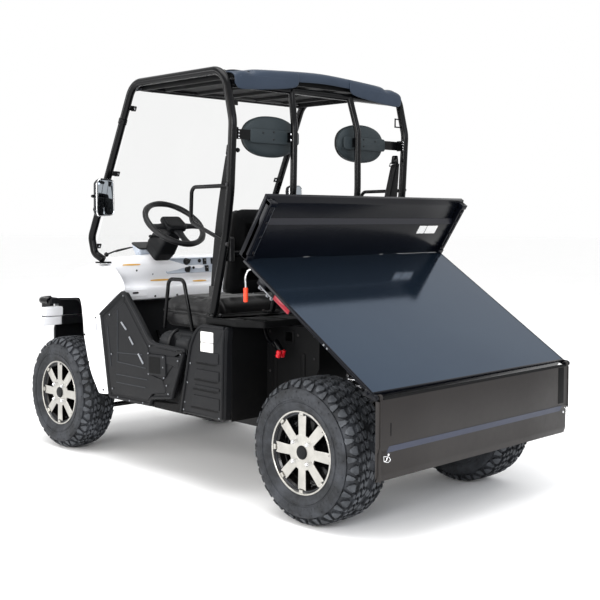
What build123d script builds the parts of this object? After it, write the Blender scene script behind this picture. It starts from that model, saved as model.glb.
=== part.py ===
from build123d import *
from math import cos, radians, sin
import os

os.makedirs("parts", exist_ok=True)

# Side by side utility vehicle. Millimetres, +Z up, +X to the vehicle's left, the front towards -Y.
# The origin is under the middle of the vehicle, on the ground. Pairs are drawn on the left side
# (+X) and mirrored. The cab and the front keep their place from the front axle; the rear pieces
# move with the rear axle when the wheelbase changes.

# ---- overall sizes ----
FRONT_OVERHANG = 440
WHEELBASE = 1905
REAR_OVERHANG = 470
MIRROR_SPAN = 1424
CLEAR = 0.3                       # seat gap between pieces that are bolted or clipped together
FRONT_AXLE_Y = -967.5
REAR_AXLE_Y = FRONT_AXLE_Y + WHEELBASE
FRONT_END_Y = FRONT_AXLE_Y - FRONT_OVERHANG
REAR_END_Y = REAR_AXLE_Y + REAR_OVERHANG
rear = WHEELBASE - 1905           # the rear pieces are placed for that wheelbase, and move by this

# ---- wheels ----
TYRE_RADIUS = 300
TYRE_WALL = 16
TYRE_BULGE = 17                   # sidewall beyond the rim's lip
RIM_BEAD_RADIUS = 154
RIM_LIP_RADIUS = 172
RIM_LIP_WIDTH = 6
SPOKES = 8
SPOKE_WIDTH = 30
SPOKE_DEPTH = 16
HUB_RADIUS = 46
HUB_DEPTH = 40
CAP_RADIUS = 27
STUB_RADIUS = 17
STUB_CLEAR = 0.4
# axle: lip plane x, tyre width, rim dish (spoke face inside the lip)
WHEELS = {"front": (591, 205, 14), "rear": (614, 250, 16)}

# ---- steering and front suspension ----
KINGPIN_X = 412
KNUCKLE_REACH = 84                # ball joint height above and below the axle
KNUCKLE_RADIUS = 20
ARM_TUBE = 13
ARM_SPREAD = 150                  # half spread of a wishbone's inner ends
STEER_ARM = 100                   # kingpin to tie rod ball
TIE_ROD_RADIUS = 9
JOINT_GAP = 0.6
STEERING_WHEEL_DIAMETER = 350
STEERING_RIM_RADIUS = 14
STEERING_HUB = (280, -346.7, 1217)
COLUMN_RISE = 50                  # degrees above level
COLUMN_LENGTH = 265

# ---- chassis ----
RAIL_INNER_X = 190
RAIL_WIDTH = 50
RAIL_BOTTOM = 250
RAIL_HEIGHT = 50
RAIL_FRONT = -1210
RAIL_REAR = REAR_AXLE_Y + 287.5
KICK_UP = 165                     # rise of the rails over the rear axle
FLOOR_Z = 330
FLOOR_SHEET = 6
AXLE_TUBE = 32

# ---- body ----
BODY_HALF = 600                   # outer face of doors and fenders
DOOR_THICKNESS = 26
DOOR_HINGE_Y = -572
DOOR_HINGE_X = 614
DOOR_HINGE_Z = (500, 690)
DOOR_PIN = 6
PIN_CLEAR = 0.1
SIDE_PANEL_X = 622
SHELF_TOP = 800
SHELF_DEPTH = 26
FASCIA_SHELF_Z = 600
SKIN = 4
DASH_FACE_Y = -520
DASH_TOP = 1045
DASH_LOW = 815
LAMP_FACE_Y = -1240
DASH_HALF = 528
COWL_Y = -690
COWL_REAR_Y = -622

# ---- cage ----
TUBE = 19                         # radius of the main tubes
HOOP_X = 578
INNER_POST_X = 214
ROOF_RAIL_Z = 1900
ROOF_TOP = 1966
ROOF_EDGE = 1932
ROOF_EDGE_Z = 1925
ROOF_HALF = 552
ROOF_FRONT = -300
ROOF_REAR = 462
ROOF_LOBE_Z = 1805                # lower edge of the flange behind the rear header
ROOF_SHEET = 8
BAR_X = 574
BAR = 9                           # radius of the hip and shoulder bars

# ---- seats ----
SEAT_WIDTH = 490
SEAT_X = 268
CUSHION_TOP = 874
CUSHION_BOTTOM = 716
SEAT_FRONT = -168
SEAT_BASE_FRONT = -110
HEADREST_Z = 1619
HEADREST_X = 303

# ---- dump bed ----
BED_TILT = 33.2
BED_WIDTH = 1320
BED_LENGTH = 909
BED_SHEET = 3
BED_SKIRT = 36
HEADBOARD_HEIGHT = 302
TAILGATE_WIDTH = 1300
TAILGATE_HEIGHT = 320
TAILGATE_DEPTH = 24
TAILGATE_GAP = 8
HOOK_WIRE = 3.2
TAILGATE_PIN_Y = REAR_END_Y - 24
TAILGATE_PIN_Z = 588
PIVOT_AHEAD = 440                 # bed pivot from the deck's rear edge
PIVOT_DROP = 60                   # bed pivot under the deck's top face
PIVOT_PIN = 12
BED_RAIL_X = 262
LIFT_AHEAD = 230                  # lift eye from the bed pivot, along the bed
LIFT_BASE = (0, 652 + rear, 345)
LIFT_TUBE = 22
LIFT_ROD = 11
LIFT_PIN = 6
LIFT_EYE_PLAY = 7.5               # room for the rod's eye to drift from its pin


# ---- helpers ----
def side_plate(outline, x_low, x_high):
    """A plate cut from a (y, z) outline, standing between two x values."""
    face = make_face(Polyline(*[(0, y, z) for y, z in outline], close=True))
    return Pos(x_low, 0, 0) * extrude(face, x_high - x_low, dir=(1, 0, 0))


def block(x_range, y_range, z_range):
    """A box given by its two limits along each axis."""
    size = [high - low for low, high in (x_range, y_range, z_range)]
    centre = [(high + low) / 2 for low, high in (x_range, y_range, z_range)]
    return Pos(*centre) * Box(*size)


def tube(points, radius, bend=60):
    """A round bar along straight runs joined by arcs."""
    if len(points) == 2:
        path = Line(*points)
    else:
        path = FilletPolyline(*points, radius=bend)
    return sweep(Plane(path @ 0, z_dir=path % 0) * Circle(radius), path=path)


def bar_x(radius, x_low, x_high, y, z):
    """A round bar along X."""
    return Pos(x_low, y, z) * Rot(0, 90, 0) * Cylinder(
        radius, x_high - x_low, align=(Align.CENTER, Align.CENTER, Align.MIN))


def post(radius, x, y, z_low, z_high):
    """An upright round bar."""
    return Pos(x, y, z_low) * Cylinder(
        radius, z_high - z_low, align=(Align.CENTER, Align.CENTER, Align.MIN))


def mirrored(solid):
    """The right side copy of a left side solid."""
    return mirror(solid, about=Plane.YZ)


def pair(solid):
    """A left side solid with its right side copy, as two solids."""
    return [solid, mirrored(solid)]


def save(name, solids):
    """Write one node's STEP file."""
    solids = solids if isinstance(solids, list) else [solids]
    to_middle = Pos(0, -(FRONT_END_Y + REAR_END_Y) / 2, 0)
    loose = [to_middle * one for item in solids for one in item.solids()]
    export_step(loose[0] if len(loose) == 1 else Compound(children=loose), f"parts/{name}.step")


# ---- wheels ----
def tyre_half_section(width):
    """Section of a tyre in (x, radius), from its outer bead round the tread to its inner bead."""
    half = width / 2
    bead = half - TYRE_BULGE - RIM_LIP_WIDTH - CLEAR
    return [(bead, RIM_BEAD_RADIUS + CLEAR), (bead, RIM_LIP_RADIUS + 2), (half - 12, 183), (half, 222),
            (half - 4, 262), (half - 22, 290), (half - 44, TYRE_RADIUS)]


def make_tyre(width):
    outer = tyre_half_section(width)
    inner = [(x - TYRE_WALL, r - TYRE_WALL * (r > 200)) for x, r in reversed(outer)]
    ring = outer + [(-x, r) for x, r in reversed(outer)]
    ring += [(-x, r) for x, r in reversed(inner)] + inner
    face = make_face(Polyline(*[(x, 0, r) for x, r in ring], close=True))
    return revolve(face, Axis.X)


def make_rim(width, dish):
    """Barrel with lips, and a face of spokes carried by a hub. Its centre plane is x = 0."""
    half = width / 2 - TYRE_BULGE
    barrel = [(half, RIM_LIP_RADIUS), (half, RIM_LIP_RADIUS - 8), (half - 12, RIM_BEAD_RADIUS - 8),
              (half - 60, RIM_BEAD_RADIUS - 16), (20 - half, RIM_BEAD_RADIUS - 16),
              (12 - half, RIM_BEAD_RADIUS - 8), (-half, RIM_LIP_RADIUS - 8),
              (-half, RIM_LIP_RADIUS), (RIM_LIP_WIDTH - half, RIM_LIP_RADIUS),
              (RIM_LIP_WIDTH - half, RIM_BEAD_RADIUS), (half - RIM_LIP_WIDTH, RIM_BEAD_RADIUS),
              (half - RIM_LIP_WIDTH, RIM_LIP_RADIUS)]
    rim = revolve(make_face(Polyline(*[(x, 0, r) for x, r in barrel], close=True)), Axis.X)
    face_x = half - dish
    spoke = block((face_x - SPOKE_DEPTH, face_x), (-SPOKE_WIDTH / 2, SPOKE_WIDTH / 2),
                  (HUB_RADIUS - 10, RIM_BEAD_RADIUS - 6))
    for turn in range(SPOKES):
        rim += Rot(turn * 360 / SPOKES, 0, 0) * spoke
    rim += bar_x(HUB_RADIUS, face_x - HUB_DEPTH, face_x, 0, 0)
    rim += bar_x(CAP_RADIUS, face_x, face_x + 8, 0, 0)
    rim -= bar_x(STUB_RADIUS + STUB_CLEAR, face_x - HUB_DEPTH, face_x - 8, 0, 0)
    return rim


HUB_FACE_X = {}                   # inner face of each axle's wheel hub
for axle, (lip_x, width, dish) in WHEELS.items():
    centre_x = lip_x + TYRE_BULGE - width / 2
    axle_y = FRONT_AXLE_Y if axle == "front" else REAR_AXLE_Y
    tyre = Pos(centre_x, axle_y, TYRE_RADIUS) * make_tyre(width)
    rim = Pos(centre_x, axle_y, TYRE_RADIUS) * make_rim(width, dish)
    HUB_FACE_X[axle] = lip_x - dish - HUB_DEPTH
    for side, place in (("left", lambda s: s), ("right", mirrored)):
        save(f"tyre_{axle}_{side}", place(tyre))
        save(f"rim_{axle}_{side}", place(rim))

# ---- chassis frame ----
rail_top = RAIL_BOTTOM + RAIL_HEIGHT
rail_outer = RAIL_INNER_X + RAIL_WIDTH
bed_u = Vector(0, -cos(radians(BED_TILT)), sin(radians(BED_TILT)))     # along the deck, forwards
bed_n = Vector(0, sin(radians(BED_TILT)), cos(radians(BED_TILT)))      # square to the deck, up
tail_pin = Vector(0, TAILGATE_PIN_Y, TAILGATE_PIN_Z)
DECK_REAR = TAILGATE_DEPTH / 2 + TAILGATE_GAP                          # tailgate pin to deck edge
DECK_TOP = 2                                                           # deck face above that pin
PIVOT_S = DECK_REAR + PIVOT_AHEAD
PIVOT_N = DECK_TOP - PIVOT_DROP
bed_pivot = tail_pin + bed_u * PIVOT_S + bed_n * PIVOT_N
rail = side_plate([(RAIL_FRONT, RAIL_BOTTOM), (640 + rear, RAIL_BOTTOM), (760 + rear, RAIL_BOTTOM + KICK_UP),
                   (RAIL_REAR, RAIL_BOTTOM + KICK_UP), (RAIL_REAR, rail_top + KICK_UP),
                   (735 + rear, rail_top + KICK_UP), (615 + rear, rail_top), (RAIL_FRONT, rail_top)],
                  RAIL_INNER_X, rail_outer)
ear_foot = rail_top + KICK_UP
pivot_ear = side_plate([(bed_pivot.Y - 90, ear_foot), (bed_pivot.Y + 70, ear_foot),
                        (bed_pivot.Y + 26, bed_pivot.Z + 26), (bed_pivot.Y - 26, bed_pivot.Z + 26)],
                       rail_outer - 16, rail_outer)
pivot_pin = bar_x(PIVOT_PIN, rail_outer - 16, BED_RAIL_X + 26, bed_pivot.Y, bed_pivot.Z)
frame = rail + pivot_ear + pivot_pin
frame += mirrored(frame)
# cross members: y range, z range, half width
CROSS_MEMBERS = [
    ((RAIL_FRONT, RAIL_FRONT + 45), (RAIL_BOTTOM, rail_top), RAIL_INNER_X + 5),
    ((-430, -390), (rail_top - 5, FLOOR_Z), 440),
    ((-130, -90), (rail_top - 5, FLOOR_Z), 440),
    ((170, 210), (rail_top - 5, FLOOR_Z), 440),
    ((LIFT_BASE[1] - 26, LIFT_BASE[1] + 26), (RAIL_BOTTOM, rail_top), RAIL_INNER_X + 5),
    ((RAIL_REAR - 40, RAIL_REAR), (RAIL_BOTTOM + KICK_UP, ear_foot), RAIL_INNER_X + 5),
    ((850 + rear, 885 + rear), (RAIL_BOTTOM + KICK_UP, ear_foot), RAIL_INNER_X + 5),
]
for y_range, z_range, half in CROSS_MEMBERS:
    frame += block((-half, half), y_range, z_range)
# lift cylinder's lower bracket
LIFT_CHEEK = 16
for x_low in (-LIFT_TUBE - LIFT_CHEEK, LIFT_TUBE + 4):
    frame += side_plate([(LIFT_BASE[1] - 20, rail_top - 5), (LIFT_BASE[1] + 20, rail_top - 5),
                         (LIFT_BASE[1] + 16, LIFT_BASE[2] + 16), (LIFT_BASE[1] - 16, LIFT_BASE[2] + 16)],
                        x_low, x_low + LIFT_CHEEK - 4)
frame += bar_x(LIFT_PIN, -LIFT_TUBE - LIFT_CHEEK, LIFT_TUBE + LIFT_CHEEK, LIFT_BASE[1], LIFT_BASE[2])
# posts under the rear shelf and behind the front fascia
for x_low in (RAIL_INNER_X + 10, -RAIL_INNER_X - 40):
    frame += block((x_low, x_low + 30), (560 + rear, 590 + rear),
                   (rail_top - 5, SHELF_TOP - SHELF_DEPTH - CLEAR))
    frame += block((x_low, x_low + 30), (RAIL_FRONT, RAIL_FRONT + 30),
                   (rail_top - 5, FASCIA_SHELF_Z - CLEAR))
# tail lamp stays
lamp_stay = block((rail_outer - 2, 330), (RAIL_REAR - 20, RAIL_REAR - 14), (440, 464))
lamp_stay += block((262, 330), (RAIL_REAR - 20, RAIL_REAR - 14), (440, 545))
frame += lamp_stay + mirrored(lamp_stay)
save("chassis_frame", frame)

# ---- front subframe: carries the wishbones and the front shock absorbers ----
ARM_INNER_X = 186
ARM_BUSH = 15
arm_seat = ARM_INNER_X - ARM_BUSH - CLEAR                              # end of the subframe's cross bars
rail_seat = RAIL_INNER_X - CLEAR
LOWER_ARM_Z = (222, TYRE_RADIUS - KNUCKLE_REACH - 22)                  # inner end, outer end
UPPER_ARM_Z = (405, TYRE_RADIUS + KNUCKLE_REACH + 22)
SHOCK_TOP = (232, FRONT_AXLE_Y, 590)
SHOCK_LOW = (338, FRONT_AXLE_Y, 238)
subframe = block((-262, 262), (FRONT_AXLE_Y - 24, FRONT_AXLE_Y + 24), (606, 640))
for x_mid in (-150, 150):
    subframe += block((x_mid - 16, x_mid + 16), (FRONT_AXLE_Y - ARM_SPREAD, FRONT_AXLE_Y + ARM_SPREAD),
                      (395, 425))
    subframe += block((x_mid - 16, x_mid + 16), (FRONT_AXLE_Y - 20, FRONT_AXLE_Y + 20), (420, 610))
for end in (-1, 1):
    y_mid = FRONT_AXLE_Y + end * ARM_SPREAD
    y_range = (y_mid - 22, y_mid + 22)
    for z_range, half in (((205, 245), arm_seat), ((262, 290), rail_seat), ((385, 425), arm_seat)):
        subframe += block((-half, half), y_range, z_range)
    for x_low in (RAIL_INNER_X - 60, 22 - RAIL_INNER_X):
        subframe += block((x_low, x_low + 38), y_range, (205, 425))
save("front_subframe", subframe)

# ---- floor, toe board and inner footwell ----
floor_pan = block((-560, 560), (-478, 300), (FLOOR_Z + CLEAR, FLOOR_Z + FLOOR_SHEET))
toe_board = side_plate([(-478, FLOOR_Z + CLEAR), (-478 - FLOOR_SHEET, FLOOR_Z + CLEAR),
                        (-600, 560), (-600, DASH_LOW - 10), (-600 + FLOOR_SHEET, DASH_LOW - 10),
                        (-600 + FLOOR_SHEET, 562), (-470, FLOOR_Z + FLOOR_SHEET)], -560, 560)
save("floor_pan", floor_pan + toe_board)

# ---- motor, rear axle, suspension ----
MOTOR_REAR = REAR_AXLE_Y - 101.5
save("motor_block", block((-150, 150), (MOTOR_REAR - 110, MOTOR_REAR), (RAIL_BOTTOM + 20, 455)))
axle = bar_x(AXLE_TUBE, -HUB_FACE_X["rear"] + 3, HUB_FACE_X["rear"] - 3, REAR_AXLE_Y, TYRE_RADIUS)
stub_reach = HUB_FACE_X["rear"] + HUB_DEPTH - 14
axle += bar_x(STUB_RADIUS, -stub_reach, stub_reach, REAR_AXLE_Y, TYRE_RADIUS)
axle += bar_x(92, -70, 75, REAR_AXLE_Y, TYRE_RADIUS)
axle += block((-60, 60), (MOTOR_REAR + CLEAR, REAR_AXLE_Y), (TYRE_RADIUS - 30, TYRE_RADIUS + 60))
for x_mid in (-330, 330):
    axle += block((x_mid - 25, x_mid + 25), (REAR_AXLE_Y - 30, REAR_AXLE_Y + 30), (250, 345))
save("rear_axle", axle)

arms = []
for z_inner, z_outer in (LOWER_ARM_Z, UPPER_ARM_Z):
    arm = None
    for end in (-1, 1):
        leg = tube([(ARM_INNER_X, FRONT_AXLE_Y + end * ARM_SPREAD, z_inner),
                    (KINGPIN_X, FRONT_AXLE_Y + end * 10, z_outer)], ARM_TUBE)
        leg += Pos(ARM_INNER_X, FRONT_AXLE_Y + end * ARM_SPREAD, z_inner) * Rot(90, 0, 0) * Cylinder(
            ARM_BUSH, 44)
        arm = leg if arm is None else arm + leg
    arm += post(24, KINGPIN_X, FRONT_AXLE_Y, z_outer - 20, z_outer + 20)
    if z_outer < TYRE_RADIUS:
        arm += block((300, 370), (FRONT_AXLE_Y - 45, FRONT_AXLE_Y + 45), (194, 216))
        for y_low in (-26, 16):
            arm += block((322, 354), (FRONT_AXLE_Y + y_low, FRONT_AXLE_Y + y_low + 10), (210, 252))
        arm += Pos(338, FRONT_AXLE_Y, 238) * Rot(90, 0, 0) * Cylinder(6, 52)
    arms += pair(arm)
save("front_suspension_arms", arms)


def make_shock(top, low, radius):
    """A damper between two eyes: eye, body, rod, eye."""
    run = Vector(*top) - Vector(*low)
    axis = Plane(Vector(*low), z_dir=run.normalized())
    length = run.length
    lower = axis * (Pos(0, 0, 28) * Cylinder(radius, length * 0.45,
                                             align=(Align.CENTER, Align.CENTER, Align.MIN)))
    rod = axis * (Pos(0, 0, 12) * Cylinder(8, length - 26, align=(Align.CENTER, Align.CENTER, Align.MIN)))
    cup = axis * (Pos(0, 0, length - 42) * Cylinder(radius + 8, 26,
                                                    align=(Align.CENTER, Align.CENTER, Align.MIN)))
    seat = axis * (Pos(0, 0, 50) * Cylinder(radius + 8, 12, align=(Align.CENTER, Align.CENTER, Align.MIN)))
    return lower + rod + cup + seat


shocks = []
front_shock = make_shock(SHOCK_TOP, SHOCK_LOW, 20)
front_shock += Pos(*SHOCK_LOW) * Rot(90, 0, 0) * Cylinder(16, 30)
front_shock -= Pos(*SHOCK_LOW) * Rot(90, 0, 0) * Cylinder(6 + CLEAR, 32)
front_shock += Pos(*SHOCK_TOP) * Rot(90, 0, 0) * Cylinder(15.7, 30)
shocks += pair(front_shock)
REAR_SHOCK_TOP = (330, REAR_AXLE_Y + 40, 640)
rear_shock = make_shock(REAR_SHOCK_TOP, (330, REAR_AXLE_Y + 14, 361 + CLEAR), 22)
rear_shock += Pos(330, REAR_AXLE_Y + 14, 361 + CLEAR) * Rot(90, 0, 0) * Cylinder(16, 30)
rear_shock += block((rail_outer - 16 + CLEAR + 16, 345), (REAR_AXLE_Y + 25, REAR_AXLE_Y + 55), (618, 662))
shocks += pair(rear_shock)
save("shock_absorbers", shocks)

# ---- knuckles, one for each front wheel ----
spindle_reach = HUB_FACE_X["front"] + HUB_DEPTH - 14
knuckle = post(KNUCKLE_RADIUS, KINGPIN_X, FRONT_AXLE_Y, LOWER_ARM_Z[1] + 20 + JOINT_GAP,
               UPPER_ARM_Z[1] - 20 - JOINT_GAP)
knuckle += bar_x(34, KINGPIN_X - 10, HUB_FACE_X["front"] - 3, FRONT_AXLE_Y, TYRE_RADIUS)
knuckle += bar_x(STUB_RADIUS, KINGPIN_X, spindle_reach, FRONT_AXLE_Y, TYRE_RADIUS)
TIE_Z = TYRE_RADIUS + 40
knuckle += block((KINGPIN_X - 16, KINGPIN_X + 12), (FRONT_AXLE_Y, FRONT_AXLE_Y + STEER_ARM),
                 (TIE_Z, TIE_Z + 16))
knuckle += post(18, KINGPIN_X, FRONT_AXLE_Y + STEER_ARM, TIE_Z, TIE_Z + 16)
save("knuckle_left", knuckle)
save("knuckle_right", mirrored(knuckle))

# ---- rack and tie rods ----
tie_y = FRONT_AXLE_Y + STEER_ARM
tie_z = TIE_Z - 16 - JOINT_GAP
ties = bar_x(TIE_ROD_RADIUS, -KINGPIN_X, KINGPIN_X, tie_y, tie_z)
for x_mid in (-KINGPIN_X, KINGPIN_X):
    ties += post(16, x_mid, tie_y, tie_z - 14, tie_z + 16)
save("tie_rods", ties)
rack = bar_x(20, -88, 88, tie_y, tie_z) - bar_x(TIE_ROD_RADIUS + 0.1, -90, 90, tie_y, tie_z)
rack += block((-80, 80), (tie_y + 14, FRONT_AXLE_Y + ARM_SPREAD + 10), (290 + CLEAR, tie_z + 10))
save("rack_housing", rack)

# ---- front body ----
# hood: side outline (y, z) of the outer skin, from the cowl forward and down to the nose
HOOD_HALF = 430
NOSE_Y = -1312
hood_outline = [(COWL_REAR_Y, 1016), (COWL_Y, 1012), (-900, 975), (-1040, 905), (-1200, 838),
                (-1280, 770), (NOSE_Y, 700), (NOSE_Y, 640)]


hood_inner = [(y + SKIN, z - SKIN) for y, z in hood_outline[1:-1]]
hood_sheet = side_plate(hood_outline + [(NOSE_Y + SKIN, 640)] + hood_inner[::-1]
                        + [(COWL_REAR_Y, 1016 - SKIN)], -HOOD_HALF, HOOD_HALF)
save("hood", hood_sheet)

# fender: plan line (x, y) of the outer skin, and side outline (y, z) that trims it
FENDER_SKIN = 5
fender_plan = [(BODY_HALF, -340), (BODY_HALF, -800), (582, -960), (540, -1120), (505, -1190)]
fender_outline = [(-352, 886), (-540, 1013), (-650, 1013), (-872, 968), (-960, 902), (-1140, 826),
                  (-1180, 800), (-1000, 808), (-724, 828), (-706, 640), (-652, 462), (-560, 346),
                  (-486, 346), (-564, 758)]
plan_line = fender_plan + [(x - FENDER_SKIN, y + 2) for x, y in reversed(fender_plan)]
plan_face = make_face(Polyline(*[(x, y, 330) for x, y in plan_line], close=True))
fender_side = extrude(plan_face, 700, dir=(0, 0, 1))
fender_side &= side_plate(fender_outline, HOOD_HALF, BODY_HALF + 5)
top_line = [(-540, 1013), (-650, 1013), (-872, 968), (-960, 902), (-1140, 826)]
top_sheet = side_plate(top_line + [(y + 2, z - SKIN) for y, z in reversed(top_line)],
                       HOOD_HALF + CLEAR, BODY_HALF)
top_sheet -= block((HOOD_HALF, DASH_HALF + CLEAR), (-624, -500), (900, 1100))
top_plan = [(HOOD_HALF, -340)] + fender_plan + [(HOOD_HALF, -1190)]
top_face = make_face(Polyline(*[(x, y, 700) for x, y in top_plan], close=True))
top_sheet &= extrude(top_face, 400, dir=(0, 0, 1))
save("front_fenders", pair(fender_side + top_sheet))

# inner fender: black liner in front of the toe board, from the sill up to the arch
liner_line = [(-500, 340), (-564, 352), (-656, 468), (-712, 650), (-730, 806)]
liner = side_plate(liner_line + [(y - 4, z - 3) for y, z in reversed(liner_line)],
                   250, BODY_HALF - FENDER_SKIN - CLEAR)
save("wheel_arch_liners", pair(liner))

# front fascia: grille panel under the nose, with lamp pockets beside it
fascia = block((-428, 428), (NOSE_Y, NOSE_Y + 30), (430, 640 - CLEAR))
fascia += block((-300, 300), (NOSE_Y + 29, NOSE_Y + 96), (440, 470))
fascia += block((-565, 565), (LAMP_FACE_Y + 10, LAMP_FACE_Y + 60), (FASCIA_SHELF_Z, 690 - CLEAR))
for row in range(5):
    z_mid = 490 + row * 28
    fascia -= block((-250, 250), (NOSE_Y - 1, NOSE_Y + 12), (z_mid, z_mid + 14))
save("front_fascia", fascia)

lamp = block((HOOD_HALF + 4, 560), (LAMP_FACE_Y, LAMP_FACE_Y + 60), (690, 780))
save("headlamps", pair(lamp))

# bumper: bull bar hoop, lower bar, side bars
BUMPER_Y = FRONT_END_Y + TUBE
bumper = tube([(-470, LAMP_FACE_Y - 25, 770), (-470, BUMPER_Y, 770), (470, BUMPER_Y, 770),
               (470, LAMP_FACE_Y - 25, 770)], TUBE)
for x_mid in (-215, 215):
    bumper += tube([(x_mid, BUMPER_Y, 250), (x_mid, BUMPER_Y, 775)], TUBE)
    bumper += tube([(x_mid, BUMPER_Y, 275), (x_mid, RAIL_FRONT - CLEAR, 275)], TUBE)
for x_mid in (-470, 470):
    bumper += block((x_mid - 12, x_mid + 12), (-1330, LAMP_FACE_Y - CLEAR), (640, 775))
save("front_bumper", bumper)

# ---- dashboard, column, pedals ----
dash = side_plate([(DASH_FACE_Y - 92, DASH_TOP), (DASH_FACE_Y - 20, DASH_TOP - 6), (DASH_FACE_Y, 940),
                   (DASH_FACE_Y - 4, 900), (DASH_FACE_Y + 26, 890), (DASH_FACE_Y + 24, DASH_LOW),
                   (DASH_FACE_Y - 70, DASH_LOW), (DASH_FACE_Y - 70, 840),
                   (COWL_REAR_Y + 3, 1016)], -DASH_HALF, DASH_HALF)
save("dashboard", dash)

column_axis = Vector(0, cos(radians(COLUMN_RISE)), sin(radians(COLUMN_RISE)))
hub_point = Vector(*STEERING_HUB)
column_plane = Plane(hub_point, x_dir=(1, 0, 0), z_dir=column_axis)
wheel_radius = STEERING_WHEEL_DIAMETER / 2 - STEERING_RIM_RADIUS
wheel = Torus(wheel_radius, STEERING_RIM_RADIUS)
wheel += Pos(0, 0, -14.5) * Cylinder(48, 30)
for turn in (0, 180, 270):
    wheel += Rot(0, 0, turn) * Pos(wheel_radius / 2 + 12, 0, -6) * Box(wheel_radius - 20, 34, 9)
save("steering_wheel", column_plane * wheel)
shroud = column_plane * (Pos(0, 0, -30) * Cylinder(
    52, COLUMN_LENGTH - 30, align=(Align.CENTER, Align.CENTER, Align.MAX)))
save("steering_column", shroud - dash)
pod = Pos(280, -588, 1090) * Rot(28, 0, 0) * Box(150, 50, 90)
save("gauge_pod", pod - dash)

pedals = []
for x_mid, width in ((215, 46), (310, 70)):
    pad = Pos(x_mid, -470, 430) * Rot(-35, 0, 0) * Box(width, 8, 80)
    arm = tube([(x_mid, -468, 432), (x_mid, -586.4, 640)], 8)
    pedals.append(pad + arm)
save("pedals", pedals)

# ---- cage ----
# one side hoop: (x, y, z) along the tube, cowl foot, windscreen post, roof rail, rear post, base
hoop_route = [(562, -572, 1032), (584, -618, 1062), (592, -632, 1146), (HOOP_X, -280, ROOF_RAIL_Z),
              (HOOP_X, 414, ROOF_RAIL_Z), (HOOP_X, 469, 1673), (HOOP_X, 453, 1371), (HOOP_X, 419, 1152),
              (HOOP_X, 331, SHELF_TOP + 6)]
hoop_bends = [45, 70, 100, 100, 160, 600, 600]
hoop = tube(hoop_route, TUBE, hoop_bends)
hoop += block((532, 590), (-602, -545), (1013 + CLEAR, 1021))
hoop += block((HOOP_X - 30, HOOP_X + 24), (300, 362), (SHELF_TOP + CLEAR, SHELF_TOP + 8))
for z_tab in (1100, 1468, 1784):
    y_tab = -558 + 0.467 * (z_tab - 1303)
    hoop += block((548, HOOP_X + 4), (y_tab + 12.2, y_tab + 18), (z_tab - 12, z_tab + 12))
for y_mid in (-150, 100, 330):
    hoop += block((ROOF_HALF - 7, HOOP_X - 8), (y_mid - 14, y_mid + 14),
                  (ROOF_RAIL_Z + 5, ROOF_EDGE_Z - ROOF_SHEET - CLEAR))
save("cage_side_hoops", pair(hoop))

inner_route = [(INNER_POST_X + 8, 331, SHELF_TOP + 6), (INNER_POST_X + 6, 440, 1152),
               (INNER_POST_X + 4, 474, 1371), (INNER_POST_X, 475, 1673), (INNER_POST_X - 18, 436, 1838)]
inner_post = tube(inner_route, 16, [600, 600, 160])
header_y = 436
rear_cage = bar_x(16, -HOOP_X + TUBE + CLEAR, HOOP_X - TUBE - CLEAR, header_y - 6, 1838)
inner_post += block((INNER_POST_X - 22, INNER_POST_X + 38), (302, 360), (SHELF_TOP + CLEAR, SHELF_TOP + 7))
rear_cage += inner_post + mirrored(inner_post)
rear_cage += bar_x(16, -HOOP_X + TUBE + CLEAR, HOOP_X - TUBE - CLEAR, 400, 1090)
front_header = bar_x(16, -HOOP_X + TUBE + CLEAR, HOOP_X - TUBE - CLEAR, -258, ROOF_RAIL_Z - 12)
headrest_stay = block((INNER_POST_X, HOOP_X - TUBE - CLEAR), (436, 442), (HEADREST_Z - 22, HEADREST_Z + 22))
headrest_stay += block((INNER_POST_X - 4, INNER_POST_X + 14), (436, 470), (HEADREST_Z - 22, HEADREST_Z + 22))
headrest_stay += block((HOOP_X - TUBE - 5, HOOP_X - TUBE - CLEAR), (436, 478),
                       (HEADREST_Z - 26, HEADREST_Z + 26))
for x_mid in (150, 390):
    headrest_stay += block((x_mid - 15, x_mid + 15), (370.9, 392), (1080, 1100))
rear_cage += headrest_stay + mirrored(headrest_stay)
save("cage_cross_frame", [rear_cage, front_header])

# roof: crowned panel; section (x, z) of the top face from the edge to the middle
roof_top = [(-ROOF_HALF, ROOF_EDGE_Z), (-330, ROOF_EDGE + 8), (-300, ROOF_EDGE + 20), (0, ROOF_TOP),
            (300, ROOF_EDGE + 20), (330, ROOF_EDGE + 8), (ROOF_HALF, ROOF_EDGE_Z)]
roof_low = [(x, z - ROOF_SHEET) for x, z in reversed(roof_top)]
roof_face = make_face(Polyline(*[(x, 0, z) for x, z in roof_top + roof_low], close=True))
roof = Pos(0, ROOF_FRONT, 0) * extrude(roof_face, ROOF_REAR - ROOF_FRONT, dir=(0, 1, 0))
lobe = block((INNER_POST_X + 34, ROOF_HALF - 4), (ROOF_REAR - 6, ROOF_REAR), (ROOF_LOBE_Z, ROOF_EDGE_Z - 2))
roof += lobe + mirrored(lobe)
save("roof_panel", roof)

# windscreen: flat sheet between the posts
SCREEN_HALF = 554
screen_line = [(-558 + 0.467 * (z - 1303), z) for z in (1040, 1880)]
screen = side_plate([(y + dy, z) for (y, z), dy in zip(screen_line + screen_line[::-1], (0.6, 0.6, 6, 6))],
                    -SCREEN_HALF, SCREEN_HALF)
save("windscreen", screen)

# ---- side bars ----
shoulder = tube([(BAR_X, 452 - TUBE, 1391), (BAR_X, 175, 1388), (BAR_X, 168, 1229),
                 (BAR_X, 416 - TUBE, 1150)], BAR, 32)
hip = tube([(528, -98, 717.4), (528, -62, 955), (528, 54, 957), (528, 122, 718.6)], BAR, 34)
save("side_grab_bars", pair(shoulder) + pair(hip))

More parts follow.
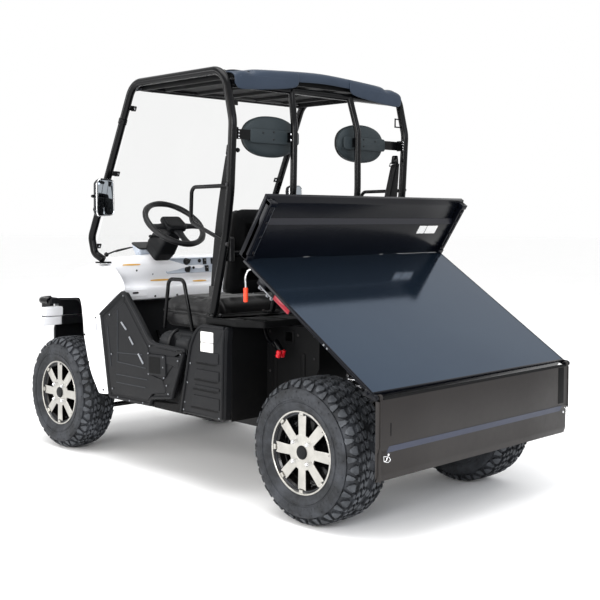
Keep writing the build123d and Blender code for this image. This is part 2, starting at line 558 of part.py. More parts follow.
# ---- seats ----
seat_base = block((-535, 535), (SEAT_BASE_FRONT, 300),
                  (FLOOR_Z + FLOOR_SHEET + CLEAR, CUSHION_BOTTOM - CLEAR))
seat_base -= block((-535 + SKIN, 535 - SKIN), (SEAT_BASE_FRONT + SKIN, 300 - SKIN),
                   (FLOOR_Z, CUSHION_BOTTOM - SKIN))
save("seat_base", seat_base)
cushion = block((SEAT_X - SEAT_WIDTH / 2, SEAT_X + SEAT_WIDTH / 2), (SEAT_FRONT, 262),
                (CUSHION_BOTTOM, CUSHION_TOP))
save("seat_cushions", pair(fillet(cushion.edges(), 34)))
back = side_plate([(318, 884), (263, 900), (322, 1262), (350, 1298), (396, 1298), (410, 1262)],
                  SEAT_X - SEAT_WIDTH / 2, SEAT_X + SEAT_WIDTH / 2)
save("seat_backs", pair(fillet(back.edges(), 22)))
rest = Pos(HEADREST_X, 401.7, HEADREST_Z) * Rot(90, 0, 0) * extrude(Ellipse(165, 94), 34, both=True)
save("headrests", pair(rest))
belt = side_plate([(410, 1560), (460, 1560), (460, 1520), (352, 1180), (312, 890), (268, 890), (306, 1190),
                   (410, 1520)], 519, 523)
belt += block((519, HOOP_X - TUBE - CLEAR), (440, 478), (1526, 1556))
save("seat_belts", pair(belt))

# ---- rear body ----
under_shelf = SHELF_TOP - SHELF_DEPTH - CLEAR
side_outline = [(145, 352), (222, 676), (300, under_shelf), (480, under_shelf), (470, 700), (462, 360)]
side_panel = side_plate(side_outline, SIDE_PANEL_X - 40, SIDE_PANEL_X)
save("side_panels", pair(side_panel))
shelf = block((-605, 605), (302, 640 + rear), (SHELF_TOP - SHELF_DEPTH, SHELF_TOP))
save("rear_shelf", shelf)
WELL_X = 371                      # outer face of the panel inside the rear wheel
WELL_FRONT_Y = 464
well_rear = 800 + rear
well = block((WELL_X - 5, WELL_X), (WELL_FRONT_Y, well_rear), (420, under_shelf))
well -= side_plate([(well_rear, 420), (well_rear - 100, 420), (well_rear, 600)], 300, 400)
well -= block((300, 400), (590, 634), (704, 746))
well += block((WELL_X - 5, SIDE_PANEL_X - 40 - CLEAR), (WELL_FRONT_Y, WELL_FRONT_Y + 5),
              (352, under_shelf))
save("rear_inner_panels", pair(well))

lever = tube([(430, WELL_FRONT_Y + 5, 735), (430, 560, 735), (430, 610, 672)], 8, 20)
lever += post(14, 430, 618, 632, 672)
save("bed_lock_lever", lever)

# ---- mirrors ----
mirror_body = block((600, 702), (-475, -415), (1252, 1440))
mirror_arm = tube([(600, -555, 1340), (650, -460, 1340)], 9)
mirror_arm -= tube(hoop_route, TUBE + CLEAR, hoop_bends)
side_mirror = fillet(mirror_body.edges(), 20) + mirror_arm.solids().sort_by(Axis.X)[-1]
side_mirror += bar_x(8, 690, MIRROR_SPAN / 2, -445, 1352)
save("mirrors", pair(side_mirror))

# ---- doors ----
door_outline = [(-350, 880), (-322, 884), (-206, 764), (-112, 657), (-60, 648), (164, 642), (58, 397),
                (-106, 374), (-117, 339), (-460, 334), (-478, 350), (-556, 752)]
door = side_plate(door_outline, BODY_HALF - DOOR_THICKNESS, BODY_HALF)
for z_mid in DOOR_HINGE_Z:
    door += block((BODY_HALF - 8, DOOR_HINGE_X), (-545, -490), (z_mid - 16, z_mid + 16)) & side_plate(
        door_outline, 500, 700)
    door += block((BODY_HALF + CLEAR, DOOR_HINGE_X), (DOOR_HINGE_Y, -490), (z_mid - 16, z_mid + 16))
    door += post(12, DOOR_HINGE_X, DOOR_HINGE_Y, z_mid - 16, z_mid + 16)
    door -= post(DOOR_PIN + PIN_CLEAR, DOOR_HINGE_X, DOOR_HINGE_Y, z_mid - 20, z_mid + 20)
save("door_left", door)
save("door_right", mirrored(door))
hinges = []
for z_mid in DOOR_HINGE_Z:
    hinge = post(DOOR_PIN, DOOR_HINGE_X, DOOR_HINGE_Y, z_mid - 24, z_mid + 24)
    for z_low in (z_mid - 24, z_mid + 17):
        hinge += block((BODY_HALF + CLEAR, DOOR_HINGE_X + 8), (DOOR_HINGE_Y - 34, DOOR_HINGE_Y + 8),
                       (z_low, z_low + 7))
    hinge += block((BODY_HALF + CLEAR, BODY_HALF + 5), (DOOR_HINGE_Y - 40, DOOR_HINGE_Y - 14),
                   (z_mid - 24, z_mid + 24))
    hinges += pair(hinge)
save("door_hinges", hinges)

# ---- dump bed, drawn flat in its own frame: origin on the tailgate pin, +Y rearwards, +Z off the deck ----
bed_place = Pos(0, TAILGATE_PIN_Y, TAILGATE_PIN_Z) * Rot(-BED_TILT, 0, 0)
DECK_FRONT = DECK_REAR + BED_LENGTH
bed_half = BED_WIDTH / 2
GATE_HALF = TAILGATE_WIDTH / 2
GATE_PIN = 6
deck_low = DECK_TOP - BED_SKIRT
HEADBOARD_DEPTH = 38
headboard_seat = DECK_TOP - 1     # the deck steps down under the headboard
deck = block((-bed_half, bed_half), (-DECK_FRONT, -DECK_REAR), (DECK_TOP - BED_SHEET, DECK_TOP))
for x_low in (-bed_half, bed_half - BED_SHEET):
    deck += block((x_low, x_low + BED_SHEET), (-DECK_FRONT, -DECK_REAR), (deck_low, DECK_TOP))
for y_low in (-DECK_FRONT, -DECK_REAR - BED_SHEET):
    deck += block((-bed_half, bed_half), (y_low, y_low + BED_SHEET), (deck_low, DECK_TOP))
deck -= block((-bed_half, bed_half), (-DECK_FRONT, HEADBOARD_DEPTH - DECK_FRONT), (headboard_seat, DECK_TOP))
# brackets on the deck's rear corners, with the pins the tailgate swings on
for side in (1, -1):
    x_low = bed_half - BED_SHEET if side > 0 else -bed_half
    deck += side_plate([(-DECK_REAR - 1, -26), (-DECK_REAR - 1, -2), (-4, 11), (8, 8), (11, 0), (4, -11),
                        (-8, -12)], x_low, x_low + BED_SHEET)
    pin_low = GATE_HALF - 14 if side > 0 else -bed_half
    deck += bar_x(GATE_PIN, pin_low, pin_low + bed_half - GATE_HALF + 14, 0, 0)
save("bed_deck", bed_place * deck)

# folded panel of the headboard and tailgate: (depth, height share) of its face, from the deck up
PANEL_FACE = [(0, 0), (0, 0.58), (12, 0.66), (12, 0.93), (20, 1)]
PANEL_SHEET = 3


def folded_panel(width, height, depth, gap=0):
    """A sheet with one crease, a lip, and flanges folded away from the load. Face at y = 0."""
    face = [(-back, share * height + gap * (1 - share)) for back, share in PANEL_FACE]
    inner = [(y - PANEL_SHEET, z) for y, z in face]
    body = side_plate(face + inner[::-1], -width / 2, width / 2)
    body += block((-width / 2, width / 2), (-depth, face[-1][0]), (height - PANEL_SHEET, height))
    body += block((-width / 2, width / 2), (-depth, 0), (gap, gap + PANEL_SHEET))
    closed = [(y, z) for y, z in face] + [(-depth, height), (-depth, gap)]
    for x_low in (-width / 2, width / 2 - PANEL_SHEET):
        body += side_plate(closed, x_low, x_low + PANEL_SHEET)
    return body


headboard = Pos(0, -DECK_FRONT + HEADBOARD_DEPTH, headboard_seat + CLEAR) * folded_panel(
    BED_WIDTH, HEADBOARD_HEIGHT, HEADBOARD_DEPTH)
save("bed_headboard", bed_place * headboard)

# bed frame: rails under the deck, pivot lugs, lift clevis
rail_low = DECK_TOP - BED_SHEET - CLEAR - 46
bed_rear = DECK_REAR + BED_SHEET + 8
LIFT_S = PIVOT_S + LIFT_AHEAD
BED_RAIL_FRONT = 775              # front end of the rails, from the tailgate pin
bed_frame = None
for x_low in (BED_RAIL_X, -BED_RAIL_X - 30):
    bed_rail = block((x_low, x_low + 30), (-BED_RAIL_FRONT, -bed_rear),
                     (rail_low, DECK_TOP - BED_SHEET - CLEAR))
    bed_frame = bed_rail if bed_frame is None else bed_frame + bed_rail
for s_mid in (70, 330, LIFT_S, BED_RAIL_FRONT - 14):
    bed_frame += block((-BED_RAIL_X - 5, BED_RAIL_X + 5), (-s_mid - 14, -s_mid + 14),
                       (rail_low + 16, DECK_TOP - BED_SHEET - CLEAR))
for x_low in (BED_RAIL_X + 2, -BED_RAIL_X - 22):
    lug = side_plate([(-PIVOT_S - 40, rail_low + 2), (-PIVOT_S + 40, rail_low + 2),
                      (-PIVOT_S + 20, PIVOT_N - 22), (-PIVOT_S - 20, PIVOT_N - 22)], x_low, x_low + 20)
    bed_frame += lug
bed_frame -= bar_x(PIVOT_PIN + PIN_CLEAR, -300, 300, -PIVOT_S, PIVOT_N)
for x_low in (-22, 14):
    bed_frame += side_plate([(-LIFT_S - 14, rail_low + 18), (-LIFT_S + 14, rail_low + 18),
                             (-LIFT_S + 12, PIVOT_N - 13), (-LIFT_S - 12, PIVOT_N - 13)], x_low, x_low + 8)
bed_frame += bar_x(LIFT_PIN, -22, 22, -LIFT_S, PIVOT_N)
save("bed_frame", bed_place * bed_frame)

GRIP = (640, -817, -132)          # middle of the release grip in the bed's frame
GRIP_HALF = 30
grip_top = Vector(*GRIP) + Vector(0, -sin(radians(BED_TILT)), cos(radians(BED_TILT))) * (GRIP_HALF - 4)
grip_rod = tube([(GRIP[0], GRIP[1] + 60, deck_low - 4), grip_top], 4)
grip_rod += block((GRIP[0] - 8, bed_half - BED_SHEET - CLEAR), (GRIP[1] + 40, GRIP[1] + 80),
                  (deck_low - 8, deck_low + 20))
grip = Pos(*GRIP) * Rot(BED_TILT, 0, 0) * Cylinder(10, 2 * GRIP_HALF)
save("bed_release_handle", bed_place * (grip + grip_rod))

# ---- tailgate, hanging from its pin ----
GATE_START = 8                    # pin axis to the gate's first flange
GATE_BOSS = 11
gate = Pos(0, TAILGATE_DEPTH / 2, 0) * folded_panel(
    TAILGATE_WIDTH, TAILGATE_HEIGHT, TAILGATE_DEPTH, GATE_START)
for x_mid in (GATE_HALF - 62, 62 - GATE_HALF):
    gate -= block((x_mid - 7, x_mid + 7), (0, TAILGATE_DEPTH), (95, 160))
for x_low in (GATE_HALF - 16, -GATE_HALF):
    gate += bar_x(GATE_BOSS, x_low, x_low + 16, 0, 0)
    gate += block((x_low, x_low + 16), (-GATE_BOSS, GATE_BOSS), (0, GATE_START + PANEL_SHEET))
gate -= bar_x(GATE_PIN + PIN_CLEAR, -GATE_HALF - 5, GATE_HALF + 5, 0, 0)
gate_place = Pos(0, TAILGATE_PIN_Y, TAILGATE_PIN_Z) * Rot(0, 180, 0)
save("tailgate", gate_place * gate)

hook_y = REAR_END_Y - TAILGATE_PIN_Y - HOOK_WIRE
hook = tube([(GATE_HALF - 60, 0.3, 262), (GATE_HALF - 60, hook_y, 262),
             (GATE_HALF - 18, hook_y, 272), (GATE_HALF - 12, hook_y, 226), (GATE_HALF - 30, hook_y, 222)],
            HOOK_WIRE, 8)
save("tailgate_latches", [gate_place * one for one in pair(hook)])

# ---- lift cylinder between the frame and the bed ----
lift_low = Vector(*LIFT_BASE)
lift_high = tail_pin + bed_u * LIFT_S + bed_n * PIVOT_N
lift_run = lift_high - lift_low
lift_axis = Plane(lift_low, x_dir=(1, 0, 0), z_dir=lift_run.normalized())
LIFT_EYE = 19
LIFT_TUBE_LENGTH = 380
lift_tube = Pos(0, 0, LIFT_EYE - 4) * Cylinder(LIFT_TUBE, LIFT_TUBE_LENGTH,
                                              align=(Align.CENTER, Align.CENTER, Align.MIN))
lift_tube -= Pos(0, 0, 40) * Cylinder(LIFT_ROD + PIN_CLEAR, LIFT_TUBE_LENGTH,
                                      align=(Align.CENTER, Align.CENTER, Align.MIN))
lift_tube += bar_x(LIFT_EYE, -18, 18, 0, 0)
lift_tube -= bar_x(LIFT_PIN + PIN_CLEAR, -30, 30, 0, 0)
save("lift_tube", lift_axis * lift_tube)
rod_length = 395
lift_rod = Pos(0, 0, lift_run.length - rod_length) * Cylinder(LIFT_ROD, rod_length - LIFT_EYE + 3,
                                                             align=(Align.CENTER, Align.CENTER, Align.MIN))
lift_rod += Pos(0, 0, lift_run.length) * bar_x(LIFT_EYE, -10, 10, 0, 0)
lift_rod -= Pos(0, 0, lift_run.length) * bar_x(LIFT_PIN + LIFT_EYE_PLAY, -12, 12, 0, 0)
save("lift_rod", lift_axis * lift_rod)

# ---- tow hitch and tail lamps ----
HITCH_BORE = 9.5
HITCH_Z = 392
hitch = block((-40, 40), (RAIL_REAR + CLEAR, RAIL_REAR + 10), (HITCH_Z - 12, rail_top + KICK_UP - 5))
hitch += block((-32, 32), (RAIL_REAR + CLEAR, RAIL_REAR + 62), (HITCH_Z - 12, HITCH_Z))
hitch -= post(HITCH_BORE, 0, RAIL_REAR + 38, HITCH_Z - 20, HITCH_Z + 8)
save("tow_hitch", hitch)
tail_lamp = Pos(296, RAIL_REAR - 14 + CLEAR, 508) * Rot(-90, 0, 0) * Cylinder(
    32, 34, align=(Align.CENTER, Align.CENTER, Align.MIN))
save("tail_lamps", pair(tail_lamp))
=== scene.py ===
import math
import random

import bmesh
import bpy
from mathutils import Matrix, Vector


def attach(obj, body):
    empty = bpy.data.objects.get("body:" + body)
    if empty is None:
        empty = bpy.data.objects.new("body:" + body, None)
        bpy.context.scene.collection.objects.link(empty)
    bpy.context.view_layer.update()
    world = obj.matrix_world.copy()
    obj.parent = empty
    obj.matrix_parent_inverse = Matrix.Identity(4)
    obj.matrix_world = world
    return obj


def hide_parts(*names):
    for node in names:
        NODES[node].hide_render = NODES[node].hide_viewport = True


# Side by side utility vehicle, in metres: +Z up, the front towards -Y, the vehicle's left +X.
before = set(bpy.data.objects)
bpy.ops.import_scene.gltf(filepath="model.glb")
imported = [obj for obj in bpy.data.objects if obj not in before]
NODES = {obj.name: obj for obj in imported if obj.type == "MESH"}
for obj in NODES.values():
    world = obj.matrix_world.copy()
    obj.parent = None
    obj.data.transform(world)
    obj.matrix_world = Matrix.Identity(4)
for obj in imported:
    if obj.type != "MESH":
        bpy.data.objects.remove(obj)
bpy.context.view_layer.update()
random.seed(7)

# ---- sizes that several pieces share ----
WHEEL_HEIGHT = 0.3
FRONT_AXLE_Y = -0.9675
REAR_AXLE_Y = 0.9375
DOOR_FACE_X = 0.6
SIDE_FACE_X = 0.622
BED_TILT = math.radians(33.2)
SEAT_X = 0.268
SIDES = (("left", 1), ("right", -1))


# ---- building meshes ----
class Shape:
    """The faces of one piece, gathered solid by solid."""

    def __init__(self):
        self.points = []
        self.faces = []

    def add(self, points, faces, place=Matrix()):
        start = len(self.points)
        self.points += [place @ Vector(p) for p in points]
        self.faces += [[start + i for i in face] for face in faces]

    def join(self, part):
        """Take in another shape's faces."""
        self.add(part.points, part.faces)

    def block(self, low, high, place=Matrix()):
        corners = [(x, y, z) for x in (low[0], high[0]) for y in (low[1], high[1]) for z in (low[2],
            high[2])]
        self.add(corners, [(0, 1, 3, 2), (4, 6, 7, 5), (0, 4, 5, 1), (2, 3, 7, 6), (0, 2, 6, 4), (1, 5, 7,
            3)], place)

    def prism(self, outline, low, high, place=Matrix(), draft=0.0):
        """An outline in the local XY plane, extruded from low to high; the far end is drawn in by draft."""
        count = len(outline)
        middle = sum((Vector((*p, 0)) for p in outline), Vector()) / count
        far = []
        for p in outline:
            inward = middle - Vector((*p, 0))
            far.append(Vector((*p, high)) + inward.normalized() * draft)
        sides = [(i, (i + 1) % count, count + (i + 1) % count, count + i) for i in range(count)]
        self.add([(*p, low) for p in outline] + far, sides + [tuple(range(count))[::-1], tuple(range(count,
            2 * count))], place)

    def lathe(self, profile, place=Matrix(), steps=48, closed=False):
        """A profile of (radius, height) turned round the local Z axis."""
        rows = len(profile)
        points = [(r * math.cos(a), r * math.sin(a), h) for a in (2 * math.pi * k / steps
            for k in range(steps)) for r, h in profile]
        last = rows if closed else rows - 1
        faces = [(k * rows + i, ((k + 1) % steps) * rows + i, ((k + 1) % steps) * rows + (i + 1) % rows,
            k * rows + (i + 1) % rows) for k in range(steps) for i in range(last)]
        if not closed:
            faces += [tuple(k * rows for k in range(steps))[::-1] if profile[0][0] > 1e-6 else (),
                tuple(k * rows + rows - 1 for k in range(steps)) if profile[-1][0] > 1e-6 else ()]
        self.add(points, [f for f in faces if f], place)

    def rings(self, rings, caps=True, loop=False):
        """A skin over closed rings of equal length."""
        count = len(rings[0])
        faces = []
        spans = len(rings) if loop else len(rings) - 1
        for k in range(spans):
            one, two = k * count, ((k + 1) % len(rings)) * count
            faces += [(one + i, one + (i + 1) % count, two + (i + 1) % count, two + i) for i in range(count)]
        if caps and not loop:
            faces += [tuple(range(count))[::-1], tuple(range(count * (len(rings) - 1), count * len(rings)))]
        self.add([p for ring in rings for p in ring], faces)

    def sheet(self, rows):
        """An open skin over rows of equal length."""
        count = len(rows[0])
        self.add([p for row in rows for p in row], [(k * count + i, k * count + i + 1,
            (k + 1) * count + i + 1, (k + 1) * count + i) for k in range(len(rows) - 1)
            for i in range(count - 1)])

    def tube(self, points, radius, steps=12, loop=False):
        """A round bar along points; radius may be a list with one value for each point."""
        points = [Vector(p) for p in points]
        radii = radius if isinstance(radius, list) else [radius] * len(points)
        rings, side = [], None
        for k, p in enumerate(points):
            before = points[k - 1] if (k or loop) else p
            after = points[(k + 1) % len(points)] if (loop or k < len(points) - 1) else p
            along = (after - before).normalized()
            if side is None:
                side = along.orthogonal().normalized()
            side = (side - along * side.dot(along)).normalized()
            other = along.cross(side)
            rings.append([p + (side * math.cos(a) + other * math.sin(a)) * radii[k]
                for a in (2 * math.pi * i / steps for i in range(steps))])
        self.rings(rings, loop=loop)

    def layers(self, lines, place=Matrix()):
        """A skin over outlines in the local XY plane, given as (outline, height)."""
        self.rings([[place @ Vector((*p, height)) for p in outline] for outline, height in lines])

    def stack(self, outline, levels, place=Matrix()):
        """A skin over one outline at levels of (inset, height)."""
        self.layers([(shrink(outline, inset) if inset else outline, height) for inset, height in levels],
            place)

    def make(self, name, finish, body="vehicle_body", **trim):
        """Make the piece's mesh and dress it."""
        mesh = bpy.data.meshes.new(name)
        bm = bmesh.new()
        made = [bm.verts.new(p) for p in self.points]
        for face in self.faces:
            if len(set(face)) > 2:
                bm.faces.new([made[i] for i in face])
        bmesh.ops.remove_doubles(bm, verts=bm.verts, dist=1e-6)
        bmesh.ops.recalc_face_normals(bm, faces=bm.faces)
        bm.to_mesh(mesh)
        bm.free()
        piece = bpy.data.objects.new(name, mesh)
        bpy.context.scene.collection.objects.link(piece)
        return dress(piece, finish, body, **trim)


def round_edges(piece, width, steps=2, angle=32):
    rounding = piece.modifiers.new("rounding", "BEVEL")
    rounding.width = width
    rounding.segments = steps
    rounding.limit_method = "ANGLE"
    rounding.angle_limit = math.radians(angle)
    rounding.use_clamp_overlap = True


def dress(piece, finish, body="vehicle_body", bevel=0.0, steps=2, levels=0, solid=0.0, offset=-1.0,
        smooth=40, replaces=()):
    """Finish a piece: thickness, rounded edges, smooth shading, material, and the body it rides on."""
    if solid:
        wall = piece.modifiers.new("wall", "SOLIDIFY")
        wall.thickness = solid
        wall.offset = offset
    if bevel:
        round_edges(piece, bevel, steps)
    if levels:
        curved = piece.modifiers.new("curved", "SUBSURF")
        curved.levels = levels
        curved.render_levels = levels
    piece.data.materials.clear()
    piece.data.materials.append(finish)
    shade(piece, smooth)
    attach(piece, body)
    if replaces:
        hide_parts(*replaces)
    return piece


def shade(piece, angle=40):
    """Smooth shading with edges sharper than the angle kept."""
    bpy.context.view_layer.objects.active = piece
    for other in bpy.context.selected_objects:
        other.select_set(False)
    piece.select_set(True)
    bpy.ops.object.shade_auto_smooth(angle=math.radians(angle))
    piece.select_set(False)


def along_x():
    """Local X, Y and Z become Y, Z and X, for outlines given as (y, z)."""
    return Matrix(((0, 0, 1, 0), (1, 0, 0, 0), (0, 1, 0, 0), (0, 0, 0, 1)))


def facing(point, normal, spin=0.0):
    """A place whose local Z looks along the normal."""
    turn = Vector(normal).to_track_quat("Z", "Y").to_matrix().to_4x4()
    return Matrix.Translation(point) @ turn @ Matrix.Rotation(spin, 4, "Z")


def along_y():
    """Local X, Y and Z become X, Z and Y, for outlines given as (x, z)."""
    return Matrix(((1, 0, 0, 0), (0, 0, 1, 0), (0, 1, 0, 0), (0, 0, 0, 1)))


def flipped(shape):
    """The right side copy of a left side shape."""
    other = Shape()
    other.points = [Vector((-p.x, p.y, p.z)) for p in shape.points]
    other.faces = [face[::-1] for face in shape.faces]
    return other


def sided(sign, *shapes):
    """Left side shapes as they are when the sign is 1, or their right side copies when it is -1."""
    turned = [flipped(shape) if sign < 0 else shape for shape in shapes]
    return turned if len(turned) > 1 else turned[0]


def oblong(x_low, y_low, x_high, y_high):
    """The corners of a rectangle."""
    return [(x_low, y_low), (x_high, y_low), (x_high, y_high), (x_low, y_high)]


def rounded(points, radius, steps=5):
    """A closed 2-D outline with its corners rounded; radius may be a list."""
    count = len(points)
    radii = radius if isinstance(radius, list) else [radius] * count
    out = []
    for k, point in enumerate(points):
        here = Vector(point)
        back, ahead = Vector(points[k - 1]) - here, Vector(points[(k + 1) % count]) - here
        reach = min(radii[k] / max(math.tan(back.angle(ahead) / 2), 1e-3), back.length * 0.48,
            ahead.length * 0.48)
        if reach < 1e-5:
            out.append(tuple(here))
            continue
        start, end = here + back.normalized() * reach, here + ahead.normalized() * reach
        for step in range(steps + 1):
            t = step / steps
            out.append(tuple(start * (1 - t) ** 2 + here * 2 * t * (1 - t) + end * t ** 2))
    return out


def shrink(outline, by):
    """An outline drawn in by a distance."""
    count = len(outline)
    area = sum(outline[i][0] * outline[(i + 1) % count][1] - outline[(i + 1) % count][0] * outline[i][1]
        for i in range(count))
    sign = 1 if area > 0 else -1
    out = []
    for i in range(count):
        here = Vector(outline[i])
        back = (here - Vector(outline[i - 1])).normalized()
        ahead = (Vector(outline[(i + 1) % count]) - here).normalized()
        one, two = Vector((-back.y, back.x)) * sign, Vector((-ahead.y, ahead.x)) * sign
        bisect = (one + two).normalized()
        out.append(tuple(here + bisect * by / max(0.35, bisect.dot(one))))
    return out


def bend_line(points, radius):
    """An open 3-D line with its inner corners rounded."""
    points = [Vector(p) for p in points]
    out = [points[0]]
    for back, here, ahead in zip(points, points[1:], points[2:]):
        reach = min(radius, (back - here).length * 0.48, (ahead - here).length * 0.48)
        start = here + (back - here).normalized() * reach
        end = here + (ahead - here).normalized() * reach
        for step in range(7):
            t = step / 6
            out.append(start * (1 - t) ** 2 + here * 2 * t * (1 - t) + end * t ** 2)
    return out + [points[-1]]


def screws(shape, places, radius=0.006, height=0.004, hexagon=False):
    """Screw heads, or hexagon heads on washers, at (point, normal) places."""
    for point, normal in places:
        place = facing(point, normal, random.uniform(0, 1))
        if hexagon:
            shape.lathe([(radius * 1.25, -0.001), (radius * 1.25, 0.0008), (radius * 1.15, 0.0012)], place,
                20)
            shape.lathe([(radius, 0.0), (radius, height * 0.85), (radius * 0.9, height)], place, 6)
        else:
            shape.lathe([(radius, -0.001), (radius, height * 0.35), (radius * 0.78, height * 0.85),
                (radius * 0.4, height), (radius * 0.36, height * 0.55), (0.0, height * 0.5)], place, 16)


# ---- layers of a finish ----
def srgb(code):
    """A linear colour from an sRGB hex value."""
    channels = [int(code[i:i + 2], 16) / 255 for i in (1, 3, 5)]
    linear = [c / 12.92 if c <= 0.04045 else ((c + 0.055) / 1.055) ** 2.4 for c in channels]
    return (*linear, 1.0)


def add(tree, kind, sockets, **settings):
    """Add one node; a socket takes a value or another node's output."""
    one = tree.nodes.new(kind)
    for name, value in settings.items():
        setattr(one, name, value)
    for name, value in sockets.items():
        if isinstance(value, bpy.types.NodeSocket):
            tree.links.new(value, one.inputs[name])
        else:
            one.inputs[name].default_value = value
    return one


SOCKETS = {"metallic": "Metallic", "roughness": "Roughness", "ior": "IOR", "alpha": "Alpha",
    "specular": "Specular IOR Level", "coat": "Coat Weight", "coat_roughness": "Coat Roughness",
    "sheen": "Sheen Weight", "sheen_roughness": "Sheen Roughness", "transmission": "Transmission Weight"}


def blank(name, **constants):
    """A material with its shader's constants set, the tree to add to, and the shader."""
    material = bpy.data.materials.new(name)
    material.use_nodes = True
    shader = material.node_tree.nodes["Principled BSDF"]
    for word, value in constants.items():
        shader.inputs[SOCKETS[word]].default_value = value
    return material, material.node_tree, shader


def per_mm(size):
    """Texture scale for a pattern whose cells are size millimetres across."""
    return 1000 / size


def patches(tree, size, detail=4.0, rough=0.55, stretch=(1, 1, 1), flecks=None):
    """Soft patches, the largest size millimetres across; flecks of (start, end, low, high) sharpens them."""
    where = add(tree, "ShaderNodeTexCoord", {}).outputs["Object"]
    where = add(tree, "ShaderNodeMapping", {"Vector": where, "Scale": stretch}).outputs["Vector"]
    cloud = add(tree, "ShaderNodeTexNoise", {"Vector": where, "Scale": per_mm(size), "Detail": detail,
        "Roughness": rough}).outputs["Fac"]
    if flecks is None:
        return cloud
    start, end, low, high = flecks
    return add(tree, "ShaderNodeMapRange", {"Value": cloud, "From Min": start, "From Max": end,
        "To Min": low, "To Max": high}).outputs["Result"]


def pebbles(tree, size, edge, randomness=1.0):
    """The domed cells of an embossed grain, size millimetres across, with creases edge wide between them."""
    where = add(tree, "ShaderNodeTexCoord", {}).outputs["Object"]
    cells = add(tree, "ShaderNodeTexVoronoi", {"Vector": where, "Scale": per_mm(size),
        "Randomness": randomness}, feature="DISTANCE_TO_EDGE")
    return add(tree, "ShaderNodeMapRange", {"Value": cells.outputs["Distance"], "From Min": 0.0,
        "From Max": edge, "To Min": 0.0, "To Max": 1.0}).outputs["Result"]


def ribs(tree, size, direction, wobble=0.0):
    """Straight ribs; 20 repeats of the pattern's size make about three ribs."""
    where = add(tree, "ShaderNodeTexCoord", {}).outputs["Object"]
    return add(tree, "ShaderNodeTexWave", {"Vector": where, "Scale": per_mm(size), "Distortion": wobble},
        wave_type="BANDS", bands_direction=direction).outputs["Fac"]


def road_dust(tree, low, high, amount):
    """Where road dust lies: patchy, and fading out between two heights."""
    place = add(tree, "ShaderNodeNewGeometry", {}).outputs["Position"]
    height = add(tree, "ShaderNodeSeparateXYZ", {"Vector": place}).outputs["Z"]
    fade = add(tree, "ShaderNodeMapRange", {"Value": height, "From Min": low, "From Max": high,
        "To Min": amount, "To Max": 0.0}).outputs["Result"]
    patchy = patches(tree, 90, 8, 0.65, flecks=(0.35, 0.7, 0.2, 1.0))
    return add(tree, "ShaderNodeMath", {0: fade, 1: patchy}, operation="MULTIPLY").outputs["Value"]


def tones(tree, shader, ground, *layers):
    """Base colour: a ground colour with each (pattern, colour) laid over it in turn."""
    colour = srgb(ground)
    for pattern, tone in layers:
        mixed = add(tree, "ShaderNodeMix", {"Factor": pattern, "A": colour, "B": srgb(tone)},
            data_type="RGBA")
        colour = mixed.outputs["Result"]
    tree.links.new(colour, shader.inputs["Base Color"])


def gloss(tree, shader, pattern, low, high, start=0.0, end=1.0):
    """Roughness that wanders from low to high as the pattern goes from start to end."""
    wander = add(tree, "ShaderNodeMapRange", {"Value": pattern, "From Min": start, "From Max": end,
        "To Min": low, "To Max": high})
    tree.links.new(wander.outputs["Result"], shader.inputs["Roughness"])


def relief(tree, shader, *layers):
    """Relief from (pattern, depth in millimetres, strength) layers, each over the one before."""
    normal = None
    for pattern, depth, strength in layers:
        sockets = {"Height": pattern, "Distance": depth / 1000, "Strength": strength}
        if normal is not None:
            sockets["Normal"] = normal
        normal = add(tree, "ShaderNodeBump", sockets).outputs["Normal"]
    tree.links.new(normal, shader.inputs["Normal"])


# ---- camera, light and floor ----
def set_camera():
    lens = bpy.data.cameras.new("camera")
    lens.lens = 60.79
    lens.sensor_width = 36
    lens.shift_x = -0.0047
    lens.shift_y = -0.0646
    lens.clip_end = 200
    camera = bpy.data.objects.new("camera", lens)
    ahead = Vector((-0.69692, -0.71577, -0.04447)).normalized()
    right = Vector((-0.7166, 0.69747, 0.00403)).normalized()
    up = right.cross(ahead)
    turn = Matrix((right, up, -ahead)).transposed().to_4x4()
    camera.matrix_world = Matrix.Translation((3.446, 3.854, 1.258)) @ turn
    bpy.context.scene.collection.objects.link(camera)
    bpy.context.scene.camera = camera


def softbox(name, place, target, size, power, colour="#ffffff"):
    lamp = bpy.data.lights.new(name, "AREA")
    lamp.shape = "RECTANGLE"
    lamp.size, lamp.size_y = size
    lamp.energy = power
    lamp.color = srgb(colour)[:3]
    holder = bpy.data.objects.new(name, lamp)
    look = (Vector(target) - Vector(place)).to_track_quat("-Z", "Y")
    holder.matrix_world = Matrix.Translation(place) @ look.to_matrix().to_4x4()
    bpy.context.scene.collection.objects.link(holder)


def painted_floor():
    """Studio floor paint, rolled on: pale and matt, so only the soft contact shadow shows."""
    finish, tree, shader = blank("painted_floor", roughness=0.75)
    worn = patches(tree, 900, 3)
    tones(tree, shader, "#fbfbfb", (worn, "#ffffff"))
    gloss(tree, shader, worn, 0.65, 0.85)
    return finish


